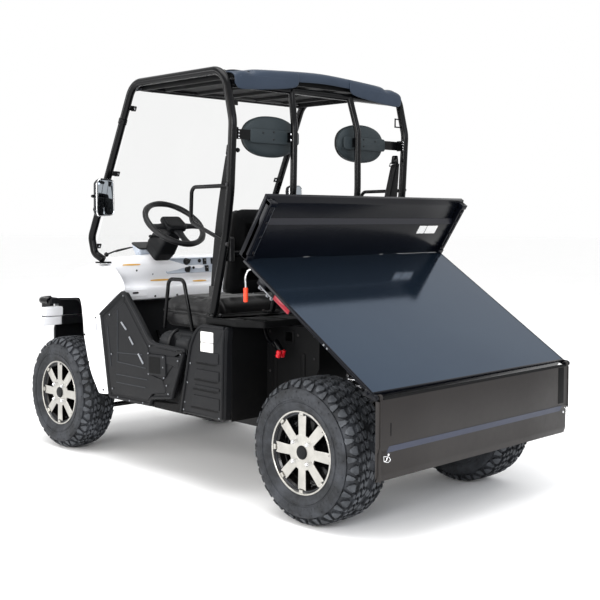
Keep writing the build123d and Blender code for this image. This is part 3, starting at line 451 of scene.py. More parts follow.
def set_studio():
    bpy.context.scene.view_settings.view_transform = "Standard"
    world = bpy.data.worlds.new("studio")
    world.use_nodes = True
    sky = world.node_tree.nodes["Background"]
    sky.inputs["Color"].default_value = srgb("#ffffff")
    sky.inputs["Strength"].default_value = 1.0
    bpy.context.scene.world = world
    softbox("overhead", (1.2, 0.6, 5.2), (0, 0.1, 0.3), (4.5, 3.2), 230)
    softbox("front_fill", (5.0, -3.6, 2.2), (0, -0.4, 0.9), (2.6, 1.8), 90)
    softbox("camera_fill", (4.6, 3.0, 2.3), (0, -0.3, 0.9), (1.8, 1.4), 115)
    softbox("side_light", (6.0, 0.2, 2.6), (0, 0, 0.7), (3.2, 2.2), 70, "#fff8ef")
    softbox("back_light", (0.4, 6.5, 3.4), (0, 0.6, 0.8), (3.6, 2.4), 90, "#eef4ff")
    ground = Shape()
    ground.lathe([(60.0, -0.003), (60.0, -0.0005), (0.0, -0.0005)], steps=96)
    mesh = bpy.data.meshes.new("floor")
    mesh.from_pydata([tuple(p) for p in ground.points], [], ground.faces)
    mesh.materials.append(painted_floor())
    floor = bpy.data.objects.new("floor", mesh)
    bpy.context.scene.collection.objects.link(floor)


# ---- finishes ----
def moulded_white_abs():
    """Injection moulded, body coloured ABS: glossy white, with the faint waviness of a thin moulding."""
    finish, tree, shader = blank("moulded_white_abs", roughness=0.22, coat=0.35, coat_roughness=0.08)
    tones(tree, shader, "#f4f6fb", (patches(tree, 260, 5), "#fdfdff"), (road_dust(tree, 0.3, 0.6, 0.16),
        "#dcd8d0"))
    gloss(tree, shader, patches(tree, 40, 6), 0.16, 0.3)
    relief(tree, shader, (patches(tree, 7, 2), 0.05, 0.35))
    return finish


def grained(name, dark, light, rough, grain, depth, dusted=0.1, shine=0.14):
    """Moulded plastic with a leather-like mould grain, drawn coarser than real so that it shows."""
    finish, tree, shader = blank(name, roughness=rough, specular=shine)
    tones(tree, shader, dark, (patches(tree, 120, 9, 0.62), light), (road_dust(tree, 0.24, 0.62, dusted),
        "#45413d"))
    gloss(tree, shader, patches(tree, 24, 8, 0.7), rough - 0.09, rough + 0.12)
    relief(tree, shader, (pebbles(tree, grain, 0.3), depth, 0.5), (patches(tree, 60, 3), 0.4, 0.12))
    return finish


def powder_coat():
    """Polyester powder baked on steel: black, satin, with the fine orange peel that powder flows to."""
    finish, tree, shader = blank("black_powder_coat", roughness=0.2, specular=0.15)
    tones(tree, shader, "#030304", (patches(tree, 150, 8, 0.6), "#08090b"), (road_dust(tree, 0.15, 0.5, 0.1),
        "#302e2c"))
    gloss(tree, shader, patches(tree, 18, 7), 0.13, 0.32)
    relief(tree, shader, (patches(tree, 3.2, 2), 0.1, 0.5))
    return finish


def bed_enamel():
    """Two-coat metallic enamel, sprayed on the pressed deck: blue-grey gloss, dulled in grains by grit."""
    finish, tree, shader = blank("bed_enamel", metallic=0.84, roughness=0.09)
    tones(tree, shader, "#2e3d50", (patches(tree, 340, 7, 0.6), "#384859"), (patches(tree, 9, 10, 0.85,
        flecks=(0.66, 0.74, 0.0, 1.0)), "#4c5a70"))
    gloss(tree, shader, patches(tree, 9, 10, 0.85), 0.05, 0.42, 0.52, 0.72)
    # Orange peel of 3 mm, drawn 13 mm across so that it shows, breaks up what the gloss mirrors.
    relief(tree, shader, (patches(tree, 13, 5, 0.8, (0.5, 1, 1)), 0.16, 1.0))
    return finish


def headboard_enamel():
    """Plain black enamel, sprayed on the pressed steel headboard and skirts: nearly black and glossy."""
    finish, tree, shader = blank("headboard_enamel", roughness=0.2, specular=0.13)
    tones(tree, shader, "#040509", (patches(tree, 300, 6), "#090b12"))
    gloss(tree, shader, patches(tree, 40, 8, 0.7), 0.14, 0.3)
    relief(tree, shader, (patches(tree, 6, 2), 0.05, 0.4))
    return finish


def gate_enamel():
    """Enamel sprayed on the tailgate: warm grey-black, satin, with light overspray texture."""
    finish, tree, shader = blank("gate_enamel", roughness=0.42, specular=0.22)
    tones(tree, shader, "#1c1918", (patches(tree, 200, 8, 0.6), "#242120"), (road_dust(tree, 0.24, 0.55,
        0.2), "#3d3834"))
    gloss(tree, shader, patches(tree, 26, 8, 0.7), 0.36, 0.52)
    relief(tree, shader, (patches(tree, 2.6, 3), 0.06, 0.5))
    return finish


def tyre_rubber(name, dark, light, chalk, chalked, shine):
    """Vulcanised carbon-black rubber, moulded: charcoal, matt, chalky with dry dust where it has run."""
    finish, tree, shader = blank(name, roughness=0.6, specular=shine)
    tones(tree, shader, dark, (patches(tree, 45, 9, 0.65), light), (patches(tree, 110, 9, 0.7, flecks=(0.42,
        0.72, 0.0, chalked)), chalk))
    gloss(tree, shader, patches(tree, 15, 8, 0.7), 0.46, 0.72)
    relief(tree, shader, (patches(tree, 2.4, 4, 0.7), 0.12, 0.6))
    return finish


def machined_alloy():
    """Cast aluminium, face-turned and clear coated: bright, with fine tool lines."""
    finish, tree, shader = blank("machined_alloy", metallic=1.0, roughness=0.26, coat=0.4,
        coat_roughness=0.06)
    tones(tree, shader, "#8b8984", (patches(tree, 60, 6), "#c2c0ba"))
    # Tool lines are about 0.2 mm apart; drawn 1.6 mm apart so that they show.
    lines = patches(tree, 1.6, 2, 0.5, (0.02, 1, 1))
    gloss(tree, shader, lines, 0.2, 0.38)
    relief(tree, shader, (lines, 0.015, 0.5))
    return finish


def gloss_black_paint():
    """Black paint sprayed in the wheel's pockets, under clear coat: deep black with sharp glints."""
    finish, tree, shader = blank("gloss_black_paint", roughness=0.16, specular=0.35)
    tones(tree, shader, "#040405", (patches(tree, 70, 7), "#0b0b0c"), (road_dust(tree, 0.05, 0.5, 0.15),
        "#3c3833"))
    gloss(tree, shader, patches(tree, 12, 6), 0.1, 0.28)
    relief(tree, shader, (patches(tree, 4, 2), 0.03, 0.4))
    return finish


def clear_polycarbonate():
    """Hard coated polycarbonate, extruded in a 5 mm sheet: clear, faintly grey, with a wiping haze.

    Such a sheet hardly shifts what is seen through it, so the light is barely bent.
    """
    finish, tree, shader = blank("clear_polycarbonate", roughness=0.02, transmission=1.0, ior=1.01,
        alpha=0.36, coat=0.12, coat_roughness=0.03)
    haze = patches(tree, 180, 6, 0.6, (1, 1, 0.3))
    tones(tree, shader, "#dddedd", (haze, "#e8e9e8"))
    gloss(tree, shader, haze, 0.01, 0.07)
    return finish


def plated_steel(name, dark, light, rough):
    """Zinc or chromium plated on steel: bright silver with soft, bluish clouds."""
    finish, tree, shader = blank(name, metallic=1.0, roughness=rough)
    tones(tree, shader, dark, (patches(tree, 20, 7), light))
    gloss(tree, shader, patches(tree, 6, 6, 0.7), rough - 0.08, rough + 0.14)
    relief(tree, shader, (patches(tree, 1.5, 3), 0.02, 0.4))
    return finish


def oiled_steel():
    """Mill steel, blackened and oiled: dark grey with a rusty bloom."""
    finish, tree, shader = blank("oiled_steel", metallic=0.75, roughness=0.45)
    bloom = patches(tree, 35, 9, 0.75, flecks=(0.52, 0.72, 0.0, 1.0))
    tones(tree, shader, "#2a2a2c", (bloom, "#3b322c"))
    gloss(tree, shader, bloom, 0.38, 0.7)
    relief(tree, shader, (patches(tree, 2, 6, 0.7), 0.08, 0.6))
    return finish


def grained_vinyl():
    """Foam backed PVC upholstery, calender embossed: soft black with a pebble grain and satin sheen."""
    finish, tree, shader = blank("grained_vinyl", roughness=0.46, specular=0.28, sheen=0.05,
        sheen_roughness=0.5)
    tones(tree, shader, "#060607", (patches(tree, 90, 7), "#0d0d0f"))
    gloss(tree, shader, patches(tree, 22, 7), 0.38, 0.58)
    # Real grain is about 1.2 mm; drawn 2.4 mm.
    relief(tree, shader, (pebbles(tree, 2.4, 0.25, 0.9), 0.18, 0.6), (patches(tree, 30, 3), 0.6, 0.2))
    return finish


def polyester_webbing():
    """Polyester belt webbing, woven 2-up 2-down: matt black with raised diagonal ribs."""
    finish, tree, shader = blank("polyester_webbing", roughness=0.7, specular=0.2, sheen=0.12,
        sheen_roughness=0.4)
    # Ribs are 1.5 mm apart; drawn 3 mm.
    woven = ribs(tree, 19, "DIAGONAL", 0.4)
    tones(tree, shader, "#070708", (woven, "#141517"))
    gloss(tree, shader, woven, 0.62, 0.8)
    relief(tree, shader, (woven, 0.3, 0.8))
    return finish


def dipped_grip(name, dark, light, rough=0.42):
    """PVC or rubber, dip-moulded: soft, slightly glossy, with a fine pebble."""
    finish, tree, shader = blank(name, roughness=rough, specular=0.3)
    tones(tree, shader, dark, (patches(tree, 22, 6), light))
    gloss(tree, shader, patches(tree, 9, 6), rough - 0.1, rough + 0.12)
    relief(tree, shader, (patches(tree, 2.2, 2), 0.12, 0.6))
    return finish


def silvered_glass():
    """Float glass, silvered behind: bright with a faint blue cast and dusty smears."""
    finish, tree, shader = blank("silvered_glass", metallic=1.0, roughness=0.03)
    smear = patches(tree, 40, 7, 0.6)
    tones(tree, shader, "#8d949b", (smear, "#a9b0b6"))
    gloss(tree, shader, smear, 0.01, 0.08)
    return finish


def lamp_polycarbonate(name, dark, light, clear):
    """Injection moulded polycarbonate lens: glossy and see-through, with the optic ribs moulded inside."""
    finish, tree, shader = blank(name, roughness=0.06, transmission=clear, ior=1.3)
    optics = ribs(tree, 30, "X")
    tones(tree, shader, dark, (optics, light))
    relief(tree, shader, (optics, 0.6, 0.5))
    return finish


def cut_film(name, dark, light, rough=0.3):
    """Cast vinyl film, cut to shape: flat, even colour, a little duller than the panel round it."""
    finish, tree, shader = blank(name, roughness=rough)
    tones(tree, shader, dark, (patches(tree, 35, 6), light))
    gloss(tree, shader, patches(tree, 12, 6), rough - 0.08, rough + 0.1)
    relief(tree, shader, (patches(tree, 5, 2), 0.03, 0.4))
    return finish


WHITE = moulded_white_abs()
BLACK = grained("grained_polypropylene", "#0d0e10", "#151619", 0.46, 2.6, 0.1)
RUBBED = grained("whitened_polypropylene", "#6f7276", "#8c8f94", 0.4, 2.6, 0.06)
WORN = grained("rubbed_polypropylene", "#25272a", "#34373b", 0.4, 2.6, 0.06)
LINER = grained("liner_polyethylene", "#070708", "#0d0e0f", 0.58, 3.4, 0.12, shine=0.09)
ROOF = grained("roof_polyethylene", "#232c38", "#2e3744", 0.38, 2.8, 0.08, 0.06, 0.16)
SILVER_DASH = grained("painted_dash_abs", "#a9b2bf", "#bcc4cf", 0.36, 1.8, 0.03, 0.0, 0.5)
COLUMN = grained("column_abs", "#0b0c0e", "#131416", 0.42, 2.2, 0.08, 0.0)
SHELL = grained("headrest_polypropylene", "#262c2f", "#30373a", 0.44, 2.4, 0.08, 0.0)
HUMPS = grained("seat_base_polyethylene", "#1a1b1d", "#242527", 0.46, 3.0, 0.1)
COAT = powder_coat()
BED = bed_enamel()
HEADBOARD = headboard_enamel()
GATE = gate_enamel()
# Bluish band for the headboard's crease: a painted reflection of the sky.
FOLD_REFLECTION = grained("headboard_crease_painted_reflection", "#101118", "#171821", 0.3, 3.0, 0.02, 0.0, 0.3)
# Bluish band for the tailgate's crease: a painted reflection of the sky.
CREASE_REFLECTION = grained("gate_crease_painted_reflection", "#23293a", "#2d3347", 0.34, 3.0, 0.03, 0.0, 0.24)
RUBBER = tyre_rubber("tyre_rubber", "#191a1c", "#26282b", "#4a4d53", 0.65, 0.2)
TREAD = tyre_rubber("tread_rubber", "#2a2c2f", "#3a3d41", "#5a5d62", 0.85, 0.22)
ALLOY = machined_alloy()
POCKET = gloss_black_paint()
SCREEN = clear_polycarbonate()
ZINC = plated_steel("bright_zinc_plate", "#b9babd", "#d9dadc", 0.24)
DULL_ZINC = plated_steel("dull_zinc_plate", "#6e7074", "#8b8d91", 0.38)
CHROME = plated_steel("chrome_plate", "#dadbdd", "#f0f0f1", 0.1)
STEEL = oiled_steel()
VINYL = grained_vinyl()
WEBBING = polyester_webbing()
GRIP = dipped_grip("wheel_grip_rubber", "#0a0a0b", "#121315")
ORANGE = dipped_grip("orange_grip_pvc", "#d8371c", "#ee4d2c", 0.36)
REFLEX = dipped_grip("reflex_acrylic", "#720a18", "#8f1226", 0.2)
RED = dipped_grip("red_knob_abs", "#b3141f", "#d2232e", 0.24)
MIRROR = silvered_glass()
LENS = lamp_polycarbonate("clear_lamp_polycarbonate", "#eef1f4", "#ffffff", 0.9)
RED_LENS = lamp_polycarbonate("red_lamp_polycarbonate", "#7d0710", "#c1121f", 0.35)
OCHRE_FILM = cut_film("ochre_film", "#d8a545", "#e6b85c")
WHITE_FILM = cut_film("white_film", "#e4e3e0", "#efeeec", 0.4)


def give(finish, *nodes):
    """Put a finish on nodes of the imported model."""
    for name in nodes:
        for place in NODES[name].material_slots:
            place.material = finish
        if not NODES[name].material_slots:
            NODES[name].data.materials.append(finish)


def soften(width, *nodes):
    """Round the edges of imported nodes, which were built sharp."""
    for name in nodes:
        piece = NODES[name]
        weld = piece.modifiers.new("weld", "WELD")
        weld.merge_threshold = 0.00002
        round_edges(piece, width, angle=30)


# ---- wheels ----
def tyre_line(half):
    """The tread's outer line over half a section, as (x from the centre, radius)."""
    return [(0.0, 0.2995), (half * 0.42, 0.2992), (half - 0.046, 0.2975), (half - 0.032, 0.2935),
        (half - 0.018, 0.284), (half - 0.007, 0.268), (half - 0.001, 0.25), (half, 0.236)]


def on_line(line, s, sink=0.0):
    """The point a distance s along the line, sunk below it; negative s is the other side."""
    side, left = (1 if s >= 0 else -1), abs(s)
    for one, two in zip(line, line[1:]):
        run = math.dist(one, two)
        if left <= run or two is line[-1]:
            along = Vector(two) - Vector(one)
            inward = Vector((along.y, -along.x)).normalized()
            point = Vector(one) + along * left / run + inward * sink
            return point.x * side, point.y
        left -= run


def tread_outlines(half):
    """Outlines of the tread blocks in one pitch, as (metres from the middle, pitches)."""
    k = half / 0.125
    crown, edge = 0.079 * k, 0.108 * k
    # A shield with its base on the shoulder, one the other way round, and a small wedge between two shields.
    shoulder = [[(edge + 0.022, 0.04), (edge + 0.026, 0.26), (edge + 0.02, 0.48), (edge - 0.01 * k, 0.36),
        (edge - 0.022 * k, 0.26), (edge - 0.01 * k, 0.14)], [(edge + 0.016, 0.7), (edge + 0.006, 0.88),
        (edge - 0.016 * k, 1.0), (edge - 0.028 * k, 0.96), (edge - 0.03 * k, 0.5), (edge - 0.018 * k, 0.44),
        (edge + 0.002, 0.56)], [(edge - 0.026 * k, 0.13), (edge - 0.03 * k, 0.36), (crown - 0.01 * k, 0.38),
        (crown - 0.012 * k, 0.06)]]
    # Three rows of bent blocks that lock into each other.
    bent = [(0.042, (0.06, 0.22, 0.06, 0.4, 0.56, 0.4)), (0.042, (0.58, 0.74, 0.58, 0.9, 1.04, 0.9)),
        (0.018, (0.3, 0.16, 0.3, 0.64, 0.5, 0.64)), (0.018, (0.8, 0.66, 0.8, 1.14, 1.0, 1.14))]
    rows = [[(s * k, t) for s, t in zip((low, low + 0.01, low + 0.02, low + 0.02, low + 0.01, low), turns)]
        for low, turns in bent]
    middle = [(s * k, t) for s, t in zip((-0.004, 0.005, 0.014, 0.014, 0.005, -0.004), (0.06, 0.2, 0.06,
        0.42, 0.56, 0.42))]
    return shoulder + rows + [middle]


def centre_line(place, point):
    """The nearest point to another on a wheel's axle."""
    local = place.inverted() @ point
    return place @ Vector((0, 0, local.z))


def tyre(name, centre, half, body):
    """A carcass with its tread blocks, their scuffed faces, and lugs and ribs on the sidewall."""
    line = tyre_line(half)
    place = Matrix.Translation(centre) @ Matrix.Rotation(math.pi / 2, 4, "Y")
    pitches = 24
    pitch = 2 * math.pi / pitches
    depth = 0.0115

    def turned(radius, angle, x):
        return place @ Vector((radius * math.cos(angle), radius * math.sin(angle), x))

    low = [on_line(line, s, depth) for s in (0.0, 0.03, 0.06, half * 0.72, half * 0.84, half * 0.96,
        half * 1.08)]
    wall = [(half - inward, r) for inward, r in ((0.0075, 0.262), (0.0035, 0.256), (0.0005, 0.246),
        (0, 0.232), (0.001, 0.218), (0.0045, 0.216), (0.0052, 0.209), (0.002, 0.2065), (0.004, 0.198),
        (0.01, 0.186), (0.015, 0.178), (0.016, 0.1735), (0.0225, 0.171), (0.0235, 0.155))]
    profile = low + wall
    ring = [(-x, r) for x, r in reversed(profile)] + profile
    carcass, blocks, faces, ribs_round = Shape(), Shape(), Shape(), Shape()
    carcass.lathe([(r, x) for x, r in ring], place, 120, closed=True)
    carcass.make(f"{name}_carcass", RUBBER, body, smooth=50, replaces=[name])
    for k in range(pitches):
        for side in (1, -1):
            shift = 0.0 if side == 1 else 0.5
            for number, outline in enumerate(tread_outlines(half)):
                middle_s = sum(s for s, _ in outline) / len(outline)
                middle_t = sum(t for _, t in outline) / len(outline)
                rows = []
                for wide, long, sink in ((1.02, 1.0, depth + 0.002), (0.91, 0.87, 0.0008)):
                    row = []
                    for s, t in outline:
                        x, r = on_line(line, middle_s + (s - middle_s) * wide, sink)
                        angle = (k + middle_t + (t - middle_t) * long + shift) * pitch * side
                        row.append(turned(r, angle, x * side))
                    rows.append(row)
                blocks.rings(rows)
                top = rows[1]
                middle = sum(top, Vector()) / len(top)
                out = (middle - centre_line(place, middle)).normalized() * 0.0008
                faces.rings([[middle + (p - middle) * 0.96 for p in top], [middle + (p - middle) * 0.86 + out
                    for p in top]])
                if number == 0:
                    angle = (k + 0.18 + shift) * pitch * side
                    lug = oblong(0.2475, -0.05, 0.2535, 0.05)
                    blocks.rings([[turned(r, angle + a * pitch, (half - 0.003 + proud) * side) for r,
                        a in lug] for proud in (0.0, 0.0042)])
    blocks.make(f"{name}_tread", RUBBER, body, bevel=0.0012, steps=1, smooth=35)
    faces.make(f"{name}_tread_faces", TREAD, body, smooth=20)
    section = [(-0.0012, 0.2215), (-0.0012, 0.232), (0.001, 0.23), (0.001, 0.2235)]
    for side in (1, -1):
        for k in range(72):
            angle = 2 * math.pi * k / 72
            ribs_round.rings([[turned(r, angle + turn, (half + proud) * side) for proud, r in section]
                for turn in (-0.012, 0.012)])
    ribs_round.make(f"{name}_sidewall_ribs", RUBBER, body, bevel=0.0005, steps=1)


def rim(name, centre, half, body, side):
    """Eight flat spokes in a deep barrel; the outer face looks to the vehicle's side."""
    place = Matrix.Translation(centre) @ Matrix.Rotation(math.pi / 2 * side, 4, "Y")
    lip = half - 0.014
    face = lip - 0.01
    barrel = Shape()
    barrel.lathe([(0.1535, -half + 0.022), (0.1715, -half + 0.022), (0.1725, -half + 0.016),
        (0.169, -half + 0.013), (0.152, -half + 0.024), (0.148, -half + 0.05), (0.132, -half + 0.075),
        (0.13, 0.0), (0.134, 0.01), (0.1345, 0.02), (0.141, 0.022), (0.1415, 0.03), (0.147, 0.032),
        (0.148, lip - 0.022), (0.156, lip - 0.014), (0.16, lip - 0.006), (0.164, lip - 0.004),
        (0.164, lip - 0.012), (0.1545, lip - 0.018), (0.153, 0.03), (0.137, -half + 0.078), (0.1535,
        -half + 0.04)], place, 96, closed=True)
    # Disc behind the spokes, with the brake drum's face showing in the windows.
    barrel.lathe([(0.0, face - 0.05), (0.075, face - 0.05), (0.08, face - 0.058), (0.128, face - 0.064),
        (0.132, face - 0.076), (0.0, face - 0.076)], place, 64)
    barrel.lathe([(0.131, face - 0.03), (0.134, face - 0.028), (0.134, face - 0.034), (0.131, face - 0.036)],
        place, 96, closed=True)
    barrel.make(f"{name}_barrel", POCKET, body, smooth=35, replaces=[name])

    bright = Shape()
    bright.lathe([(0.164, lip - 0.01), (0.164, lip - 0.001), (0.166, lip + 0.001), (0.1705, lip + 0.001),
        (0.1725, lip - 0.001), (0.1725, lip - 0.007), (0.17, lip - 0.01)], place, 120, closed=True)
    spokes = Shape()
    plates = Shape()
    for k in range(8):
        turn = place @ Matrix.Rotation(math.pi / 4 * k, 4, "Z")
        outline = [(0.03, -0.0125), (0.052, -0.0212), (0.1, -0.022), (0.136, -0.0232), (0.159, -0.0232),
            (0.159, 0.0232), (0.136, 0.0232), (0.1, 0.022), (0.052, 0.0212), (0.03, 0.0125)]
        lowered = [(x, y * 0.93) for x, y in outline]
        rings = [[turn @ Vector((x, y * 0.8, face - 0.03 - 0.012 * (1 - x / 0.16))) for x, y in lowered],
            [turn @ Vector((x, y, face - 0.0025)) for x, y in outline]]
        spokes.rings(rings)
        plate = [(x, y * 0.965) for x, y in outline[1:5]] + [(0.15, -0.0125), (0.15, 0.0125)] + [(x,
            y * 0.965) for x, y in outline[5:9]]
        plates.stack(plate, [(0, face - 0.004), (0, face)], turn)
        # tab that joins the spoke to the lip
        bright.layers([(((0.1515, -0.011), (0.1655, -0.013), (0.1655, 0.013), (0.1515, 0.011)), lip - 0.012),
            (((0.153, -0.01), (0.165, -0.012), (0.165, 0.012), (0.153, 0.01)), lip - 0.0035)], turn)
    spokes.make(f"{name}_spokes", POCKET, body, bevel=0.002, smooth=35)
    plates.lathe([(0.026, face - 0.006), (0.026, face + 0.0004), (0.073, face + 0.0004), (0.0745,
        face - 0.006)], place, 64)
    plates.make(f"{name}_spoke_faces", ALLOY, body, bevel=0.0009, smooth=35)
    bright.make(f"{name}_lip", ALLOY, body, bevel=0.0007, smooth=35)

    nuts = Shape()
    seats = Shape()
    for k in range(4):
        angle = math.pi / 4 + math.pi / 2 * k
        spot = place @ Matrix.Translation((0.056 * math.cos(angle), 0.058 * math.sin(angle), face - 0.002))
        seats.lathe([(0.0135, 0.0015), (0.0135, 0.003), (0.0115, 0.0034)], spot, 28)
        nuts.lathe([(0.0098, 0.002), (0.0098, 0.013), (0.009, 0.0145)], spot @ Matrix.Rotation(k, 4, "Z"), 6)
        nuts.lathe([(0.0084, 0.013), (0.008, 0.018), (0.006, 0.0215), (0.003, 0.0232), (0.0, 0.0236)], spot,
            24)
    nuts.make(f"{name}_nuts", CHROME, body, bevel=0.0008, smooth=45)
    seats.make(f"{name}_nut_seats", ALLOY, body, bevel=0.0005, steps=1)
    cap = Shape()
    cap.lathe([(0.029, face - 0.006), (0.029, face + 0.001), (0.027, face + 0.005), (0.022, face + 0.0075),
        (0.012, face + 0.009), (0.0, face + 0.0094)], place, 48)
    cap.make(f"{name}_cap", COLUMN, body, smooth=50)
    valve = Shape()
    spot = place @ Matrix.Rotation(math.pi / 8, 4, "Z")
    valve.tube([spot @ Vector((0.146, 0, face - 0.04)), spot @ Vector((0.142, 0, face - 0.02)),
        spot @ Vector((0.139, 0, face - 0.004))], [0.005, 0.0042, 0.0036], 14)
    valve.make(f"{name}_valve", GRIP, body, bevel=0.0005, steps=1)


def make_wheels():
    for end, x, y, half in (("front", 0.5055, FRONT_AXLE_Y, 0.1025), ("rear", 0.506, REAR_AXLE_Y, 0.125)):
        for side, sign in SIDES:
            centre = (sign * x, y, WHEEL_HEIGHT)
            tyre(f"tyre_{end}_{side}", centre, half, f"wheel_{end}_{side}")
            rim(f"rim_{end}_{side}", centre, half, f"wheel_{end}_{side}", sign)


# ---- front body ----
FENDER_COLUMNS = [
    # top (y, z), bottom (y, z), inner x of the top
    ((-1.184, 0.807), (-1.184, 0.801), 0.432), ((-1.15, 0.822), (-1.15, 0.803), 0.432),
    ((-1.05, 0.864), (-1.066, 0.806), 0.432), ((-0.975, 0.897), (-0.98, 0.811), 0.432),
    ((-0.925, 0.93), (-0.9, 0.816), 0.432), ((-0.872, 0.966), (-0.82, 0.822), 0.432),
    ((-0.76, 0.992), (-0.762, 0.827), 0.432), ((-0.655, 1.01), (-0.738, 0.822), 0.434),
    ((-0.54, 1.011), (-0.728, 0.79), 0.53), ((-0.446, 0.948), (-0.721, 0.742), 0.53),
    ((-0.374, 0.897), (-0.716, 0.706), 0.56), ((-0.372, 0.878), (-0.713, 0.686), 0.57),
    ((-0.47, 0.816), (-0.711, 0.668), 0.575), ((-0.556, 0.765), (-0.704, 0.63), 0.575),
    ((-0.562, 0.73), (-0.69, 0.585), 0.575), ((-0.549, 0.66), (-0.67, 0.52), 0.575),
    ((-0.53, 0.57), (-0.646, 0.455), 0.575), ((-0.511, 0.47), (-0.606, 0.402), 0.575),
    ((-0.497, 0.395), (-0.577, 0.366), 0.575), ((-0.489, 0.352), (-0.56, 0.348), 0.575)]


def fender_plan_x(y):
    """Outer face of the fender at a place along the vehicle."""
    plan = [(0.6, -0.2), (0.6, -0.8), (0.582, -0.96), (0.54, -1.12), (0.5, -1.2)]
    for (xa, ya), (xb, yb) in zip(plan, plan[1:]):
        if yb <= y <= ya:
            return xa + (xb - xa) * (ya - y) / (ya - yb)
    return 0.6


def make_fenders():
    rows = []
    for top, bottom, inner_x in FENDER_COLUMNS:
        out_top, out_low = fender_plan_x(top[0]), fender_plan_x(bottom[0])
        drop = Vector(bottom) - Vector(top)
        fall = min(0.045, drop.length * 0.3)
        step = drop.normalized() * fall
        row = [(inner_x, *top), ((inner_x + out_top - 0.03) / 2, top[0], top[1] + 0.001),
            (max(out_top - 0.03, inner_x + 0.002), top[0], top[1] - 0.002), (out_top - 0.01,
            top[0] + step.x * 0.25, top[1] + step.y * 0.3), (out_top - 0.001, top[0] + step.x,
            top[1] + step.y)]
        for t in (0.3, 0.5, 0.7, 0.86, 0.95):
            row.append((out_top + (out_low - out_top) * t - 0.001, *(Vector(top) + step).lerp(Vector(bottom),
                t)))
        rows.append(row + [(out_low - 0.003, *bottom), (out_low - 0.02, bottom[0] + 0.002,
            bottom[1] + 0.001)])
    # The lip is folded in under the arch.
    arch = [(-0.99, 0.807), (-0.88, 0.814), (-0.775, 0.822), (-0.728, 0.796), (-0.716, 0.7), (-0.7, 0.62),
        (-0.672, 0.53), (-0.64, 0.45), (-0.578, 0.368)]
    for side, sign in SIDES:
        skin, lip, dots = Shape(), Shape(), Shape()
        skin.sheet(rows)
        lip.tube(bend_line([(fender_plan_x(y) - 0.009, y, z) for y, z in arch], 0.06), 0.0055, 10)
        screws(dots, [((0.6005, y, z), (1, 0, 0)) for y, z in ((-0.69, 0.64), (-0.655, 0.5), (-0.592, 0.385),
            (-0.59, 0.735), (-0.52, 0.372))], 0.0055, 0.003)
        skin, lip, dots = sided(sign, skin, lip, dots)
        skin.make(f"fender_{side}", WHITE, levels=2, solid=0.0045, offset=-sign, smooth=60,
            replaces=["front_fenders"])
        lip.make(f"fender_lip_{side}", LINER)
        dots.make(f"fender_screws_{side}", GRIP)


def hood_height(x, y):
    """Outer skin of the hood: crowned, with a raised middle and a shallow valley each side."""
    line = [(-1.316, 0.64), (-1.314, 0.7), (-1.28, 0.77), (-1.2, 0.838), (-1.04, 0.905), (-0.9, 0.975),
        (-0.775, 1.004), (-0.622, 1.012)]
    for (ya, za), (yb, zb) in zip(line, line[1:]):
        if ya <= y <= yb:
            height = za + (zb - za) * (y - ya) / (yb - ya)
            break
    u = abs(x) / 0.43
    crown = 0.012 * (1 - u ** 2)
    ridge = 0.011 / (1 + math.exp((abs(x) - 0.235) / 0.01))
    fade = min(1.0, max(0.0, (y + 1.3) / 0.12))
    return height + (crown + ridge) * fade - 0.004


def make_hood():
    stations = [-0.622, -0.66, -0.7, -0.76, -0.83, -0.9, -0.97, -1.04, -1.12, -1.19, -1.245, -1.285]
    across = [-0.428, -0.4, -0.36, -0.31, -0.27, -0.248, -0.235, -0.222, -0.2, -0.12, 0.0]
    across = across + [-x for x in reversed(across[:-1])]
    rows = [[(x, y, hood_height(x, y)) for x in across] for y in stations]
    for y, z in ((-1.302, 0.742), (-1.311, 0.708), (-1.313, 0.672), (-1.312, 0.643)):
        rows.append([(x * 0.995, y + 0.012 * (abs(x) / 0.43) ** 3, z) for x in across])
    hood = Shape()
    hood.sheet(rows)
    hood.make("hood_skin", WHITE, levels=2, solid=0.004, smooth=60, replaces=["hood"])
    # Air louvres near the cowl, rubber latches at the sides.
    vents = Shape()
    for x in (-0.13, 0.13):
        for k in range(5):
            y = -0.7 - k * 0.02
            z = hood_height(x, y) + 0.0005
            outline = rounded(oblong(-0.05, -0.005, 0.05, 0.005), 0.005)
            vents.prism(outline, -0.002, 0.0022, facing((x, y, z), (0, -0.12, 1)))
    vents.make("hood_louvres", LINER, bevel=0.0015)
    latches = Shape()
    for sign in (-1, 1):
        at = (sign * 0.4, -0.8, hood_height(0.4, -0.8) + 0.001)
        latches.prism(rounded(oblong(-0.012, -0.03, 0.012, 0.03), 0.008), -0.002, 0.01, facing(at,
            (sign * 0.2, -0.1, 1)), 0.002)
        latches.lathe([(0.006, 0.008), (0.006, 0.015), (0.004, 0.017)], facing(at, (0, -0.1, 1)), 20)
    latches.make("hood_latches", GRIP, bevel=0.002)
    badge = Shape()
    badge.prism(rounded([(-0.055, -0.012), (0.055, -0.012), (0.045, 0.012), (-0.045, 0.012)], 0.006), -0.004,
        0.004, facing((0, -1.309, 0.735), (0, -1, 0.35)))
    badge.make("nose_insert", BLACK, bevel=0.0015)


